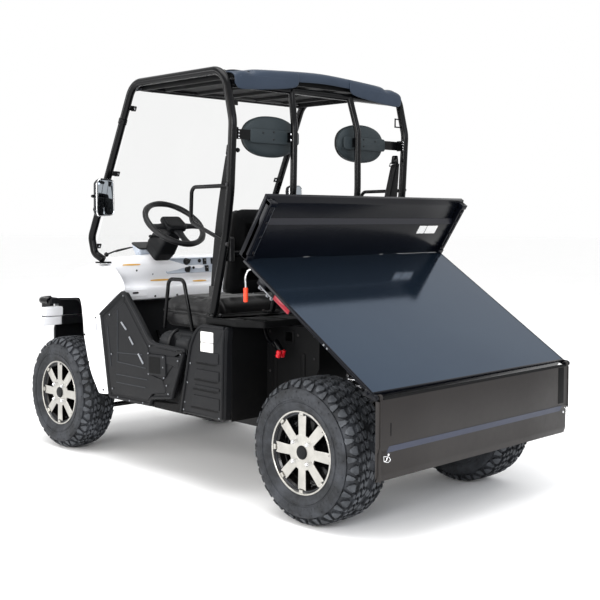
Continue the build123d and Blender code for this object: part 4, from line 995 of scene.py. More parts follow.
def make_front_face():
    """Grille, lamp surrounds and lamps under the nose."""

    def drawn(line, across, tall):
        """A lamp's outline drawn towards its middle."""
        return [(x * across, (y + 0.018) * tall - 0.018) for x, y in line]

    grille = Shape()
    outline = rounded(oblong(-0.424, 0.432, 0.424, 0.636), 0.03)
    up = Matrix.Translation((0, -1.285, 0)) @ Matrix.Rotation(math.pi / 2, 4, "X")
    grille.prism(outline, 0.0, 0.022, up, 0.003)
    grille.make("grille_panel", BLACK, bevel=0.004, steps=3, replaces=["front_fascia"])
    bars = Shape()
    for k in range(6):
        z = 0.48 + k * 0.025
        half = 0.25 - 0.008 * abs(k - 2.5)
        bars.prism(rounded(oblong(-half, z - 0.004, half, z + 0.005), 0.004), 0.02, 0.0275, up, 0.001)
    for x in (-0.26, 0.26):
        bars.prism(oblong(x - 0.006, 0.468, x + 0.006, 0.615), 0.02, 0.0285, up)
    bars.make("grille_bars", LINER, bevel=0.0015)
    tray = Shape()
    tray.prism(oblong(-0.298, -1.284, 0.298, -1.218), 0.44, 0.47)
    tray.prism(rounded(oblong(-0.436, -1.23, 0.436, -1.182), 0.006), 0.642, 0.688)
    tray.prism(oblong(-0.432, -1.236, 0.432, -1.224), 0.69, 0.786)
    tray.prism(oblong(-0.482, -1.236, 0.482, -1.226), 0.756, 0.786)
    tray.make("lamp_tray", BLACK, bevel=0.003, steps=3)
    valance = Shape()
    for sign in (-1, 1):
        valance.prism(rounded([(sign * x, y) for x, y in oblong(0.438, -1.23, 0.563, -1.182)], 0.01), 0.642,
            0.688)
    valance.make("lamp_valance", WHITE, bevel=0.004, steps=3)
    for side, sign in SIDES:
        place = Matrix.Translation((sign * 0.497, -1.18, 0.735)) @ Matrix.Rotation(math.pi / 2, 4, "X")
        shell = Shape()
        frame_line = rounded([(-0.062, -0.044), (0.05, -0.04), (0.046, 0.006), (-0.062, 0.01)], 0.012, 6)
        inner = [(x * 0.86 - 0.001, (y + 0.018) * 0.8 - 0.018) for x, y in frame_line]
        shell.layers([(frame_line, 0.0), (frame_line, 0.05), (drawn(frame_line, 0.96, 0.93), 0.057),
            (inner, 0.055), (drawn(inner, 0.8, 0.8), 0.014)], place)
        shell.make(f"headlamp_housing_{side}", WHITE, bevel=0.0015, replaces=["headlamps"])
        bowl = Shape()
        for x, radius in ((-0.028, 0.018), (0.016, 0.017)):
            bowl.lathe([(0.004, 0.017), (radius * 0.5, 0.022), (radius * 0.85, 0.036), (radius, 0.048),
                (radius * 1.06, 0.048)], place @ Matrix.Translation((x, -0.018, 0)), 40)
            bowl.lathe([(0.0045, 0.016), (0.0045, 0.032), (0.0, 0.035)], place @ Matrix.Translation((x,
                -0.018, 0)), 16)
        bowl.make(f"headlamp_reflectors_{side}", CHROME)
        lens = Shape()
        lens.layers([(drawn(inner, 1.02, 1), 0.05), (inner, 0.056), (drawn(inner, 0.8, 0.8), 0.059)], place)
        lens.make(f"headlamp_lens_{side}", LENS, bevel=0.001)


# ---- doors ----
DOOR_LINE = [(-0.346, 0.88), (-0.324, 0.881), (-0.208, 0.764), (-0.114, 0.659), (-0.062, 0.647),
    (0.16, 0.641), (0.058, 0.398), (-0.104, 0.375), (-0.116, 0.341), (-0.456, 0.337), (-0.474, 0.352),
    (-0.548, 0.752)]


def make_door(side, sign):
    body = f"door_{side}"
    outer = rounded(DOOR_LINE, [0.012, 0.012, 0.05, 0.04, 0.04, 0.014, 0.014, 0.02, 0.012, 0.012, 0.014,
        0.014], 5)
    x = DOOR_FACE_X
    panel = Shape()
    panel.stack(outer, [(0.004, x - 0.024), (0, x - 0.006), (0.003, x + 0.002), (0.01, x + 0.004),
        (0.013, x + 0.0035), (0.019, x - 0.0035)], along_x())
    # Field that stands proud inside the rim, cut off by a step before the latch.
    field = rounded([(-0.33, 0.838), (-0.215, 0.712), (-0.13, 0.622), (-0.128, 0.5), (-0.02, 0.485),
        (0.018, 0.42), (-0.1, 0.402), (-0.134, 0.366), (-0.44, 0.36), (-0.452, 0.38), (-0.51, 0.728)],
        [0.02, 0.03, 0.02, 0.015, 0.02, 0.02, 0.02, 0.015, 0.012, 0.02, 0.03], 5)
    panel.stack(field, [(0, x - 0.005), (0.004, x - 0.0002)], along_x())
    panel.layers([(((0.0, 0.56), (0.0, 0.6), (0.125, 0.605), (0.105, 0.55)), x - 0.005), (((0.004, 0.564),
        (0.004, 0.596), (0.119, 0.6), (0.101, 0.554)), x - 0.0005)], along_x())
    embossed, dashes = Shape(), Shape()
    raised = [[(-0.389, 0.788), (-0.391, 0.529)], [(-0.391, 0.529), (-0.15, 0.523)], [(-0.391, 0.575),
        (-0.177, 0.585)], [(-0.399, 0.466), (-0.137, 0.468)], [(-0.399, 0.426), (-0.15, 0.428)],
        [(-0.48, 0.7), (-0.448, 0.5)]]
    for (ya, za), (yb, zb) in raised:
        embossed.tube([(x + 0.0002, ya, za), (x + 0.0002, yb, zb)], 0.0024, 10)
    for (ya, za), (yb, zb) in (((-0.351, 0.726), (-0.317, 0.699)), ((-0.283, 0.658), (-0.258, 0.631)),
            ((-0.207, 0.582), (-0.174, 0.546))):
        along = Vector((yb - ya, zb - za)).normalized() * 0.006
        dashes.tube([(x + 0.001, ya - along.x, za - along.y), (x + 0.001, yb + along.x, zb + along.y)],
            0.0046, 12)
    pocket = Shape()
    ring = rounded([(-0.135, 0.597), (0.01, 0.603), (0.014, 0.496), (-0.131, 0.492)], 0.012, 5)
    hole = rounded([(-0.121, 0.586), (-0.028, 0.588), (-0.026, 0.506), (-0.119, 0.504)], 0.01, 5)
    pocket.stack(ring, [(0, x - 0.004), (0.003, x + 0.0045)], along_x())
    pocket_hole = Shape()
    pocket_hole.stack(hole, [(0, x + 0.003), (0.002, x + 0.0056)], along_x())
    bead = Shape()
    path = [(-0.54, 0.756), (-0.348, 0.876), (-0.324, 0.878), (-0.208, 0.762), (-0.114, 0.658), (-0.062,
        0.646), (0.15, 0.64), (0.156, 0.63)]
    bead.tube(bend_line([(x + 0.001, y, z) for y, z in path], 0.03), 0.0085, 14)
    bolts = Shape()
    face = [(-0.009, 0.59), (-0.009, 0.542), (-0.003, 0.492), (0.019, 0.459), (0.032, 0.421), (-0.456, 0.76),
        (-0.44, 0.563), (-0.432, 0.39), (-0.385, 0.352), (-0.336, 0.862), (-0.284, 0.348), (-0.172, 0.352),
        (-0.116, 0.634), (0.126, 0.618), (0.106, 0.585), (-0.128, 0.598), (-0.125, 0.498)]
    screws(bolts, [((x + 0.0035, y, z), (1, 0, 0)) for y, z in face], 0.0044, 0.0024)
    latch = Shape()
    latch.layers([(rounded([(0.1, 0.634), (0.15, 0.64), (0.156, 0.626), (0.112, 0.612)], 0.005), x + 0.002),
        (rounded([(0.104, 0.631), (0.147, 0.636), (0.151, 0.627), (0.114, 0.616)], 0.004), x + 0.012)],
        along_x())
    latch.tube(bend_line([(x - 0.01, 0.14, 0.634), (x - 0.01, 0.156, 0.64), (x - 0.01, 0.16, 0.618)], 0.01),
        0.004, 10)
    pieces = [(panel, "panel", BLACK, 0.0012), (embossed, "embossing", WORN, 0.0), (dashes, "dashes", RUBBED,
        0.0), (pocket, "pocket", BLACK, 0.0015), (pocket_hole, "pocket_net", LINER, 0.001), (bead, "bead",
        BLACK, 0.0), (bolts, "bolts", DULL_ZINC, 0.0), (latch, "latch", COAT, 0.001)]
    for shape, word, finish, edge in pieces:
        shape = sided(sign, shape)
        shape.make(f"door_{word}_{side}", finish, body, bevel=edge, smooth=38, replaces=[f"door_{side}"]
            if word == "panel" else ())


def make_hinges():
    """Slim strap hinges: pins and the leaves screwed to the body."""
    for side, sign in SIDES:
        leaves, pins = Shape(), Shape()
        for z in (0.5, 0.69):
            leaves.prism(rounded(oblong(-0.612, z - 0.02, -0.575, z + 0.02), 0.006), 0.6005, 0.6045,
                along_x())
            leaves.lathe([(0.0068, -0.022), (0.0068, 0.022), (0.005, 0.024)], Matrix.Translation((0.613,
                -0.572, z)), 20)
            leaves.prism(oblong(-0.588, z - 0.018, -0.572, z + 0.018), 0.603, 0.6095, along_x())
            screws(pins, [((0.6046, -0.6, z + dz), (1, 0, 0)) for dz in (-0.011, 0.011)], 0.0045, 0.0025)
        leaves, pins = sided(sign, leaves, pins)
        leaves.make(f"hinge_leaves_{side}", WHITE, bevel=0.0012, replaces=["door_hinges"])
        pins.make(f"hinge_screws_{side}", DULL_ZINC)


# ---- body side behind the door ----
def make_side_panel(side, sign):
    x = SIDE_FACE_X
    outline = rounded([(0.147, 0.354), (0.222, 0.676), (0.262, 0.746), (0.305, 0.772), (0.47, 0.772),
        (0.478, 0.752), (0.47, 0.7), (0.462, 0.362), (0.452, 0.354)], [0.012, 0.03, 0.03, 0.02, 0.01, 0.01,
        0.01, 0.01, 0.01], 5)
    panel = Shape()
    panel.stack(outline, [(0, x - 0.04), (0, x - 0.012), (0.004, x - 0.0035), (0.012, x)], along_x())
    # Shoulder that rolls over to the rear column.
    ribs, shade_slots = Shape(), Shape()
    for za, zb, ya, yb in ((0.6, 0.655, 0.262, 0.43), (0.524, 0.574, 0.246, 0.434), (0.48, 0.502, 0.238,
            0.436), (0.396, 0.455, 0.222, 0.438)):
        field = rounded([(ya + 0.012 + (zb - za) * 0.22, zb), (yb, zb), (yb, za), (ya + 0.012, za)], 0.008,
            4)
        ribs.stack(field, [(0, x - 0.004), (0.005, x + 0.0042)], along_x())
        # A near-black strip under each rib: painted shade where the rib's shadow falls.
        shade_slots.prism(((ya + 0.01, za - 0.007), (yb - 0.03, za - 0.007), (yb - 0.012, za - 0.002), (ya + 0.006,
            za - 0.001)), x + -0.002, x + 0.0016, along_x())
    flange = Shape()
    flange.tube(bend_line([(x + 0.001, 0.158, 0.36), (x + 0.001, 0.228, 0.672), (x + 0.001, 0.268, 0.742),
        (x - 0.002, 0.306, 0.768), (x - 0.002, 0.462, 0.768)], 0.03), 0.0065, 12)
    flange.tube([(x + 0.0005, 0.448, 0.366), (x + 0.0005, 0.456, 0.7), (x - 0.003, 0.462, 0.76)], 0.008, 12)
    dots = Shape()
    screws(dots, [((x + 0.001, y, z), (1, 0, 0)) for y, z in ((0.185, 0.408), (0.205, 0.5), (0.226, 0.59),
        (0.176, 0.372), (0.43, 0.366))], 0.0042, 0.0022)
    label = Shape()
    for za, zb in ((0.742, 0.695), (0.692, 0.65)):
        label.prism(rounded(oblong(0.3, za, 0.388, zb), 0.004, 3), x + 0.0, x + 0.0008, along_x())
    rocker = Shape()
    rocker.layers([(((-0.1, 0.336), (0.15, 0.336), (0.225, 0.64), (0.18, 0.64), (0.09, 0.385),
        (-0.1, 0.372)), x - 0.045), (((-0.095, 0.34), (0.146, 0.34), (0.218, 0.63), (0.186, 0.63),
        (0.096, 0.38), (-0.095, 0.367)), x - 0.03)], along_x())
    pieces = [(panel, "panel", BLACK, 0.002), (ribs, "ribs", BLACK, 0.0015), (flange, "flange", BLACK, 0.0),
        (dots, "screws", DULL_ZINC, 0.0), (shade_slots, "shade_slots", LINER, 0.0), (label, "film", WHITE_FILM, 0.0),
        (rocker, "rocker", LINER, 0.004)]
    for shape, word, finish, edge in pieces:
        shape = sided(sign, shape)
        shape.make(f"side_{word}_{side}", finish, bevel=edge, smooth=38, replaces=["side_panels"]
            if word == "panel" else ())


def make_bodywork():
    make_fenders()
    make_hood()
    make_front_face()
    make_hinges()
    for side, sign in SIDES:
        make_door(side, sign)
        make_side_panel(side, sign)


# ---- dashboard and steering ----
def dash_profile(x):
    """The dashboard's outline (y, z) at a place across the vehicle; the driver's side bulges."""
    bulge = 0.022 * math.exp(-((x - 0.28) / 0.1) ** 2)
    shelf = 0.006 * math.exp(-((x + 0.02) / 0.2) ** 2)
    return [(-0.618, 1.018), (-0.612, 1.04), (-0.575, 1.044 + bulge * 0.6), (-0.545 + bulge * 0.5,
        1.038 + bulge * 0.7), (-0.528 + shelf + bulge, 1.016), (-0.523 + shelf + bulge * 0.8, 0.975),
        (-0.52 + shelf, 0.945), (-0.528, 0.926), (-0.53, 0.905), (-0.515, 0.893), (-0.499, 0.886), (-0.495,
        0.872), (-0.496, 0.826), (-0.504, 0.817), (-0.56, 0.817), (-0.588, 0.822), (-0.59, 0.9), (-0.596,
        0.99)]


def make_dash():
    xs = [-0.528, -0.52, -0.47, -0.36, -0.24, -0.16, -0.12, -0.02, 0.1, 0.18, 0.23, 0.28, 0.33, 0.4, 0.48,
        0.52, 0.528]
    shell = Shape()
    shell.rings([[(x, y, z) for y, z in dash_profile(x)] for x in xs])
    shell.make("dash_shell", WHITE, levels=2, smooth=50, replaces=["dashboard"])
    panel = Shape()
    outline = rounded([(-0.15, 0.948), (0.206, 0.948), (0.224, 1.000), (0.196, 1.03), (-0.15, 1.03)],
        [0.012, 0.02, 0.03, 0.02, 0.012], 6)
    lean = Matrix.Translation((0, -0.5175, 0.945)) @ Matrix.Rotation(math.radians(7), 4, "X")

    def on_dash(x, z, out=0.0):
        return lean @ Vector((x, out, z - 0.945))

    panel.rings([[on_dash(x, z, -0.006) for x, z in outline], [on_dash(x, z, 0.004) for x, z in outline],
        [on_dash(x, z, 0.0055) for x, z in shrink(outline, 0.003)], [on_dash(x, z, 0.0035) for x,
        z in shrink(outline, 0.008)]])
    panel.make("switch_panel", SILVER_DASH, bevel=0.001)
    black, white = Shape(), Shape()
    for x, z in ((-0.057, 1.008), (-0.113, 1.008), (-0.069, 0.968)):
        frame_line = rounded(oblong(x - 0.012, z - 0.0175, x + 0.012, z + 0.0175), 0.003, 4)
        black.rings([[on_dash(a, b, 0.002) for a, b in frame_line], [on_dash(a, b, 0.0075) for a,
            b in shrink(frame_line, 0.001)]])
        key = rounded(oblong(x - 0.009, z - 0.0145, x + 0.009, z + 0.0145), 0.002, 3)
        black.rings([[on_dash(a, b, 0.006) for a, b in key], [on_dash(a, b, 0.0125 if b > z else 0.0085)
            for a, b in shrink(key, 0.001)]])
        white.rings([[on_dash(a, b, h + 0.0015 * (b - z + 0.01) / 0.02) for a, b in rounded(oblong(x - 0.003,
            z + 0.004, x + 0.003, z + 0.0065), 0.001, 2)] for h in (0.01, 0.0114)])
    for x, z, radius, reach in ((0.07, 1.01, 0.015, 0.02), (0.068, 0.966, 0.012, 0.014), (-0.022, 1.012,
            0.0085, 0.006), (0.022, 0.975, 0.006, 0.005)):
        at = facing(on_dash(x, z, 0.003), lean.to_3x3() @ Vector((0, 1, 0)))
        black.lathe([(radius * 1.25, 0.0), (radius * 1.25, 0.003), (radius, 0.0045), (radius * 0.92, reach),
            (radius * 0.8, reach + 0.0015), (0.0, reach + 0.0015)], at, 32)
    for x, z, spin in ((0.07, 1.01, 0.5), (0.068, 0.966, 1.2)):
        at = facing(on_dash(x, z, 0.003), lean.to_3x3() @ Vector((0, 1, 0)), spin)
        black.block((-0.0165, -0.0035, 0.012), (0.0165, 0.0035, 0.026), at)
    black.make("switches", GRIP, bevel=0.0009, smooth=45)
    white.make("switch_marks", WHITE_FILM)

    stripes = Shape()
    for xa, xb, z, high in ((0.375, 0.478, 1.003, 0.0085), (0.16, 0.302, 0.9165, 0.0095), (-0.07, 0.022,
            0.9025, 0.0085)):
        rows = []
        for k in range(9):
            x = xa + (xb - xa) * k / 8
            taper = high * (0.35 + 0.65 * math.sin(math.pi * (0.12 + 0.76 * k / 8)))
            profile = dash_profile(x)[2:]
            row = []
            for edge in (z + taper / 2, z, z - taper / 2):
                for (ya, za), (yb, zb) in zip(profile, profile[1:]):
                    if min(za, zb) <= edge <= max(za, zb) and za != zb:
                        row.append((x, ya + (yb - ya) * (edge - za) / (zb - za) + 0.0045, edge))
                        break
            rows.append(row)
        stripes.sheet(rows)
    stripes.make("dash_stripes", OCHRE_FILM, solid=0.0006)
    dots = Shape()
    for x, z in ((0.293, 0.951), (0.394, 0.972), (-0.3, 0.951), (-0.42, 0.951)):
        dots.lathe([(0.0052, -0.006), (0.0052, 0.004), (0.0035, 0.0055), (0.0, 0.0055)], facing((x, -0.5215,
            z), (0, 1, 0.1)), 18)
    for x, z in ((0.293, 0.835), (0.15, 0.835), (-0.1, 0.835), (-0.33, 0.835)):
        dots.lathe([(0.0052, -0.006), (0.0052, 0.0035), (0.0035, 0.0045), (0.0, 0.0045)], facing((x, -0.4975,
            z), (0, 1, 0)), 18)
    dots.make("dash_plugs", GRIP)
    # Lids of the cubby holes, each with its gap and finger pull.
    lids = Shape()
    for xa, xb in ((0.345, 0.5), (-0.5, -0.2)):
        lid = rounded(oblong(xa, 0.838, xb, 0.876), 0.01, 5)
        lids.stack(lid, [(0, -0.4985), (0, -0.493), (0.0025, -0.492)], along_y())
    lids.make("cubby_lids", WHITE, bevel=0.001)
    pulls = Shape()
    for x in (0.42, -0.35):
        pulls.prism(rounded(oblong(x - 0.018, 0.853, x + 0.018, 0.863), 0.005, 4), 0.0, 0.003,
            Matrix.Translation((0, -0.4925, 0)) @ Matrix.Rotation(math.pi / 2, 4, "X") @ Matrix.Scale(-1, 4,
            (0, 0, 1)))
    pulls.make("cubby_pulls", GRIP, bevel=0.001)


def steer_frame():
    """Local X to the vehicle's left, Z along the column towards the driver."""
    axis = Vector((0, 0.642788, 0.766044))
    side = Vector((1, 0, 0))
    up = axis.cross(side)
    return Matrix.Translation((0.28, -0.3467, 1.217)) @ Matrix((side, up, axis)).transposed().to_4x4()


def make_steering():
    place = steer_frame()
    ring = Shape()
    rings = []
    for k in range(72):
        angle = 2 * math.pi * k / 72
        swell = 0.0152 + 0.0016 * math.cos(4 * angle) ** 2
        finger = 0.0012 * math.sin(angle * 30) * (1 if abs(math.sin(angle)) < 0.75 else 0)
        rings.append([place @ Vector(((0.159 + (swell + finger) * math.cos(t)) * math.cos(angle),
            (0.159 + (swell + finger) * math.cos(t)) * math.sin(angle), swell * 0.92 * math.sin(t)))
            for t in (2 * math.pi * i / 14 for i in range(14))])
    ring.rings(rings, loop=True)
    ring.make("steering_rim", GRIP, "steering_wheel", levels=1, smooth=60, replaces=["steering_wheel"])
    spokes = Shape()
    for angle, wide in ((math.radians(8), 0.022), (math.radians(172), 0.022), (math.radians(90), 0.026)):
        rows = []
        for r, half, low, high in ((0.03, wide * 1.35, -0.02, 0.000), (0.07, wide, -0.016, -0.001),
                (0.105, wide * 0.8, -0.011, 0.001), (0.14, wide * 0.95, -0.007, 0.004), (0.158, wide * 1.25,
                -0.006, 0.006)):
            turn = place @ Matrix.Rotation(angle, 4, "Z")
            rows.append([turn @ Vector(p) for p in ((r, -half, low), (r, half, low), (r, half * 1.0,
                (low + high) / 2), (r, half * 0.75, high), (r, -half * 0.75, high), (r, -half,
                (low + high) / 2))])
        spokes.rings(rows)
    spokes.make("steering_spokes", COLUMN, "steering_wheel", levels=2, smooth=60)
    pad = Shape()
    line = rounded([(-0.06, -0.052), (0.06, -0.052), (0.07, 0.02), (0.05, 0.046), (-0.05, 0.046),
        (-0.07, 0.02)], 0.02, 5)
    pad.rings([[place @ Vector((x * s, y * s, h)) for x, y in line] for s, h in ((0.8, -0.029), (1, -0.014),
        (1, 0.002), (0.93, 0.008), (0.6, 0.011))])
    pad.make("steering_pad", COLUMN, "steering_wheel", bevel=0.003, steps=3, smooth=50)
    seam = Shape()
    seam.rings([[place @ Vector((x * s, y * s, h)) for x, y in line] for s, h in ((0.8, 0.01), (0.8, 0.0116),
        (0.74, 0.0124), (0.74, 0.01))], caps=False)
    seam.make("steering_pad_ring", GRIP, "steering_wheel", smooth=50)

    shroud = Shape()
    rows = []
    for z, wide, high, drop in ((-0.034, 0.04, 0.038, 0.000), (-0.06, 0.048, 0.045, 0.000), (-0.11, 0.06,
            0.052, 0.006), (-0.165, 0.062, 0.054, 0.01), (-0.215, 0.054, 0.046, 0.006)):
        outline = rounded([(-wide, -high - drop), (wide, -high - drop), (wide * 0.92, high), (-wide * 0.92,
            high)], 0.018, 4)
        rows.append([place @ Vector((x, y, z)) for x, y in outline])
    shroud.rings(rows)
    shroud.make("column_shroud", COLUMN, bevel=0.002, smooth=45, replaces=["steering_column"])
    lower = Shape()
    rows = []
    for z, wide, low in ((-0.075, 0.04, 0.05), (-0.12, 0.05, 0.06), (-0.17, 0.054, 0.068), (-0.215, 0.05,
            0.062)):
        outline = rounded([(-wide, -low), (wide, -low), (wide * 1.02, -low * 0.1), (-wide * 1.02,
            -low * 0.1)], 0.014, 4)
        rows.append([place @ Vector((x, y, z)) for x, y in outline])
    lower.rings(rows)
    lower.make("column_lower_cover", COLUMN, bevel=0.002, smooth=45)
    stalk = Shape()
    stalk.tube([place @ Vector(p) for p in ((0.045, 0.01, -0.08), (0.085, 0.018, -0.072), (0.125, 0.022,
        -0.066))], [0.0055, 0.005, 0.0062], 14)
    stalk.lathe([(0.0075, -0.01), (0.0085, 0.006), (0.007, 0.012), (0.0, 0.013)],
        facing(place @ Vector((0.127, 0.022, -0.066)), place.to_3x3() @ Vector((1, 0.1, 0.15))), 18)
    stalk.make("signal_stalk", GRIP, bevel=0.001)
    gauge = Shape()
    slab = Matrix.Translation((0.285, -0.583, 1.098)) @ Matrix.Rotation(math.radians(-24), 4, "X")
    outline = rounded([(-0.07, -0.038), (0.07, -0.038), (0.062, 0.036), (-0.062, 0.036)], 0.016, 5)
    rows = []
    for drop, wide, deep in ((-0.004, 1.0, 1.0), (-0.012, 1.02, 1.02), (-0.03, 0.9, 0.92), (-0.048, 0.72,
            0.8), (-0.062, 0.6, 0.72)):
        rows.append([slab @ Vector((x * wide, y * deep, drop)) for x, y in outline])
    gauge.rings(rows)
    gauge.make("gauge_housing", SILVER_DASH, bevel=0.002, steps=3, replaces=["gauge_pod"])
    lid = Shape()
    lid.rings([[slab @ Vector((x * 1.1, y * 1.1, h)) for x, y in outline] for h in (-0.004,
        0.0015)] + [[slab @ Vector((x * 1.04, y * 1.02, 0.004)) for x, y in outline]])
    lid.make("gauge_hood", GRIP, bevel=0.0012)


# ---- seats ----
def puff(piece, swell, voxel, cap, still=None):
    """Swell a closed mesh like foam under its cover, with cloth simulation, and keep the result."""
    scene = bpy.context.scene
    remesh = piece.modifiers.new("remesh", "REMESH")
    remesh.mode = "VOXEL"
    remesh.voxel_size = voxel
    bake(piece)
    before = [v.co.copy() for v in piece.data.vertices]
    if still:
        group = piece.vertex_groups.new(name="held")
        group.add([v.index for v in piece.data.vertices if still(v.co)], 1.0, "REPLACE")
    cloth = piece.modifiers.new("cloth", "CLOTH")
    settings = cloth.settings
    settings.quality = 4
    settings.mass = 0.4
    settings.tension_stiffness = settings.compression_stiffness = 14
    settings.shear_stiffness = 8
    settings.bending_stiffness = 0.6
    settings.use_pressure = True
    settings.uniform_pressure_force = swell
    settings.effector_weights.gravity = 0
    if still:
        settings.vertex_group_mass = "held"
    cloth.point_cache.frame_start, cloth.point_cache.frame_end = 1, 20
    for frame_number in range(1, 21):
        scene.frame_set(frame_number)
    bake(piece)
    scene.frame_set(1)
    for vertex, old in zip(piece.data.vertices, before):
        move = vertex.co - old
        if move.length > cap:
            vertex.co = old + move.normalized() * cap


def bake(piece):
    """Apply a piece's modifiers to its mesh."""
    evaluated = piece.evaluated_get(bpy.context.evaluated_depsgraph_get())
    mesh = bpy.data.meshes.new_from_object(evaluated)
    piece.modifiers.clear()
    old = piece.data
    piece.data = mesh
    bpy.data.meshes.remove(old)


def box_form(low, high, cuts=(8, 8, 4), round_by=0.04, shape=None):
    """A closed box of quads with rounded edges; shape may move its points."""
    form = Shape()
    nx, ny, nz = cuts
    size = [high[i] - low[i] for i in range(3)]
    points, index = [], {}

    def point(i, j, k):
        key = (i, j, k)
        if key not in index:
            p = Vector((low[0] + size[0] * i / nx, low[1] + size[1] * j / ny, low[2] + size[2] * k / nz))
            inner = Vector([min(max(p[a], low[a] + round_by), high[a] - round_by) for a in range(3)])
            away = p - inner
            if away.length > 1e-9:
                p = inner + away.normalized() * min(round_by, max(abs(c) for c in away))
            index[key] = len(points)
            points.append(shape(p) if shape else p)
        return index[key]

    faces = []
    for one, two, flat in ((0, 1, 2), (0, 2, 1), (1, 2, 0)):
        for across in range(cuts[one]):
            for along in range(cuts[two]):
                for wall in (0, cuts[flat]):
                    face = []
                    for a, b in oblong(across, along, across + 1, along + 1):
                        cell = [wall, wall, wall]
                        cell[one], cell[two] = a, b
                        face.append(point(*cell))
                    faces.append(face)
    form.points, form.faces = points, faces
    return form


def seam_dents(piece, seam, depth, inward):
    """Press sewn channels into a padded piece; seam gives a point's distance to the nearest one."""
    for vertex in piece.data.vertices:
        p = vertex.co
        vertex.co = p + inward(p) * math.exp(-(seam(p) / 0.0065) ** 2) * depth


def make_seats():
    for side, sign in SIDES:
        x = sign * SEAT_X
        pad = box_form((x - 0.232, -0.158, 0.722), (x + 0.232, 0.256, 0.862), (18, 16, 6), 0.045)
        cushion = pad.make(f"cushion_{side}", VINYL, smooth=60, replaces=["seat_cushions"])
        puff(cushion, 4.0, 0.009, 0.012, lambda p: p.z < 0.732)

        def cushion_seam(p):
            near = [1.0]
            if p.z > 0.8:
                near.append(abs(abs(p.x - x) - 0.165))
                near += [abs(p.y - y) for y in (-0.085, 0.01, 0.105) if abs(p.x - x) < 0.165]
            if p.z < 0.815:
                near.append(abs(p.z - 0.8))
            return min(near)

        seam_dents(cushion, cushion_seam, 0.007, lambda p: Vector((0, 0, -1)) if p.z > 0.815 else (Vector((x,
            0.05, p.z)) - p).normalized())
        dress(cushion, VINYL, levels=1, smooth=60)

        def lean(p):
            return Vector((p.x, p.y + (p.z - 0.893) * 0.163, p.z))

        pad = box_form((x - 0.235, 0.272, 0.898), (x + 0.235, 0.322, 1.29), (18, 5, 16), 0.024, shape=lean)
        back = pad.make(f"backrest_{side}", VINYL, smooth=60, replaces=["seat_backs"])
        puff(back, 4.0, 0.009, 0.012)

        def back_seam(p):
            if p.y - (p.z - 0.893) * 0.163 >= 0.29:
                return 1.0
            inside = abs(p.x - x) < 0.16
            return min([abs(abs(p.x - x) - 0.16)] + [abs(p.z - z) for z in (1.01, 1.11, 1.21) if inside])

        seam_dents(back, back_seam, 0.006, lambda p: Vector((0, 1, 0)))
        dress(back, VINYL, levels=1, smooth=60)
        # Piping round the cushion and the moulded shell behind the backrest.
        welt = Shape()
        path = rounded(oblong(x - 0.238, -0.16, x + 0.238, 0.252), 0.055, 8)
        welt.tube([(px, py, 0.8) for px, py in path], 0.0042, 8, loop=True)
        welt.make(f"cushion_welt_{side}", VINYL)
        shell = Shape()
        outline = rounded(oblong(x - 0.232, 0.9, x + 0.232, 1.288), 0.06, 8)
        rows = []
        for depth, small in ((0.318, 0.0), (0.334, 0.004), (0.341, 0.016), (0.344, 0.04), (0.3395, 0.06),
                (0.3395, 0.12)):
            rows.append([lean(Vector((px, depth, pz))) for px, pz in (shrink(outline, small)
                if small else outline)])
        shell.rings(rows)
        shell.make(f"backrest_shell_{side}", LINER, bevel=0.002)


def make_seat_base():
    """Moulded engine cover and footwell front under the seats, with its two humps each side."""
    form = box_form((-0.534, -0.108, 0.337), (0.534, 0.299, 0.712), (24, 10, 10), 0.03)
    form.make("seat_base_shell", HUMPS, levels=1, smooth=60, replaces=["seat_base"])
    for side, sign in SIDES:
        humps = Shape()
        for low, high, top in ((-0.106, 0.000, 0.7), (0.022, 0.14, 0.69)):
            rows = []
            for z, out, tight in ((0.42, 0.5, 0.0), (0.56, 0.556, 0.002), (0.64, 0.572, 0.006),
                    (0.678, 0.568, 0.012), (top, 0.548, 0.022), (top + 0.01, 0.512, 0.034)):
                y_a, y_b = low + tight, high - tight
                rows.append([(px, py, z) for px, py in rounded(oblong(0.44, y_a, out, y_b), 0.022, 5)])
            humps.rings(rows)
        band = Shape()
        path = [(0.556, -0.012, 0.56), (0.58, 0.004, 0.64), (0.574, 0.008, 0.684), (0.552, 0.01, 0.708),
            (0.528, 0.008, 0.716)]
        band.tube(bend_line(path, 0.03), 0.0085, 12)
        humps, band = sided(sign, humps, band)
        humps.make(f"seat_base_humps_{side}", HUMPS, levels=1, smooth=60)
        band.make(f"seat_base_strap_{side}", GRIP, smooth=60)


def headrest_ring(centre, size, depth, relief):
    """One oval of the headrest's outline; relief pushes points in or out by their height."""
    ring = []
    steps = 72
    for k in range(steps):
        a = 2 * math.pi * k / steps
        c, s = math.cos(a), math.sin(a)
        px = 0.165 * math.copysign(abs(c) ** 0.88, c) * size
        pz = 0.094 * math.copysign(abs(s) ** 0.88, s) * size
        ring.append(centre + Vector((px, depth + relief(pz), pz)))
    return ring


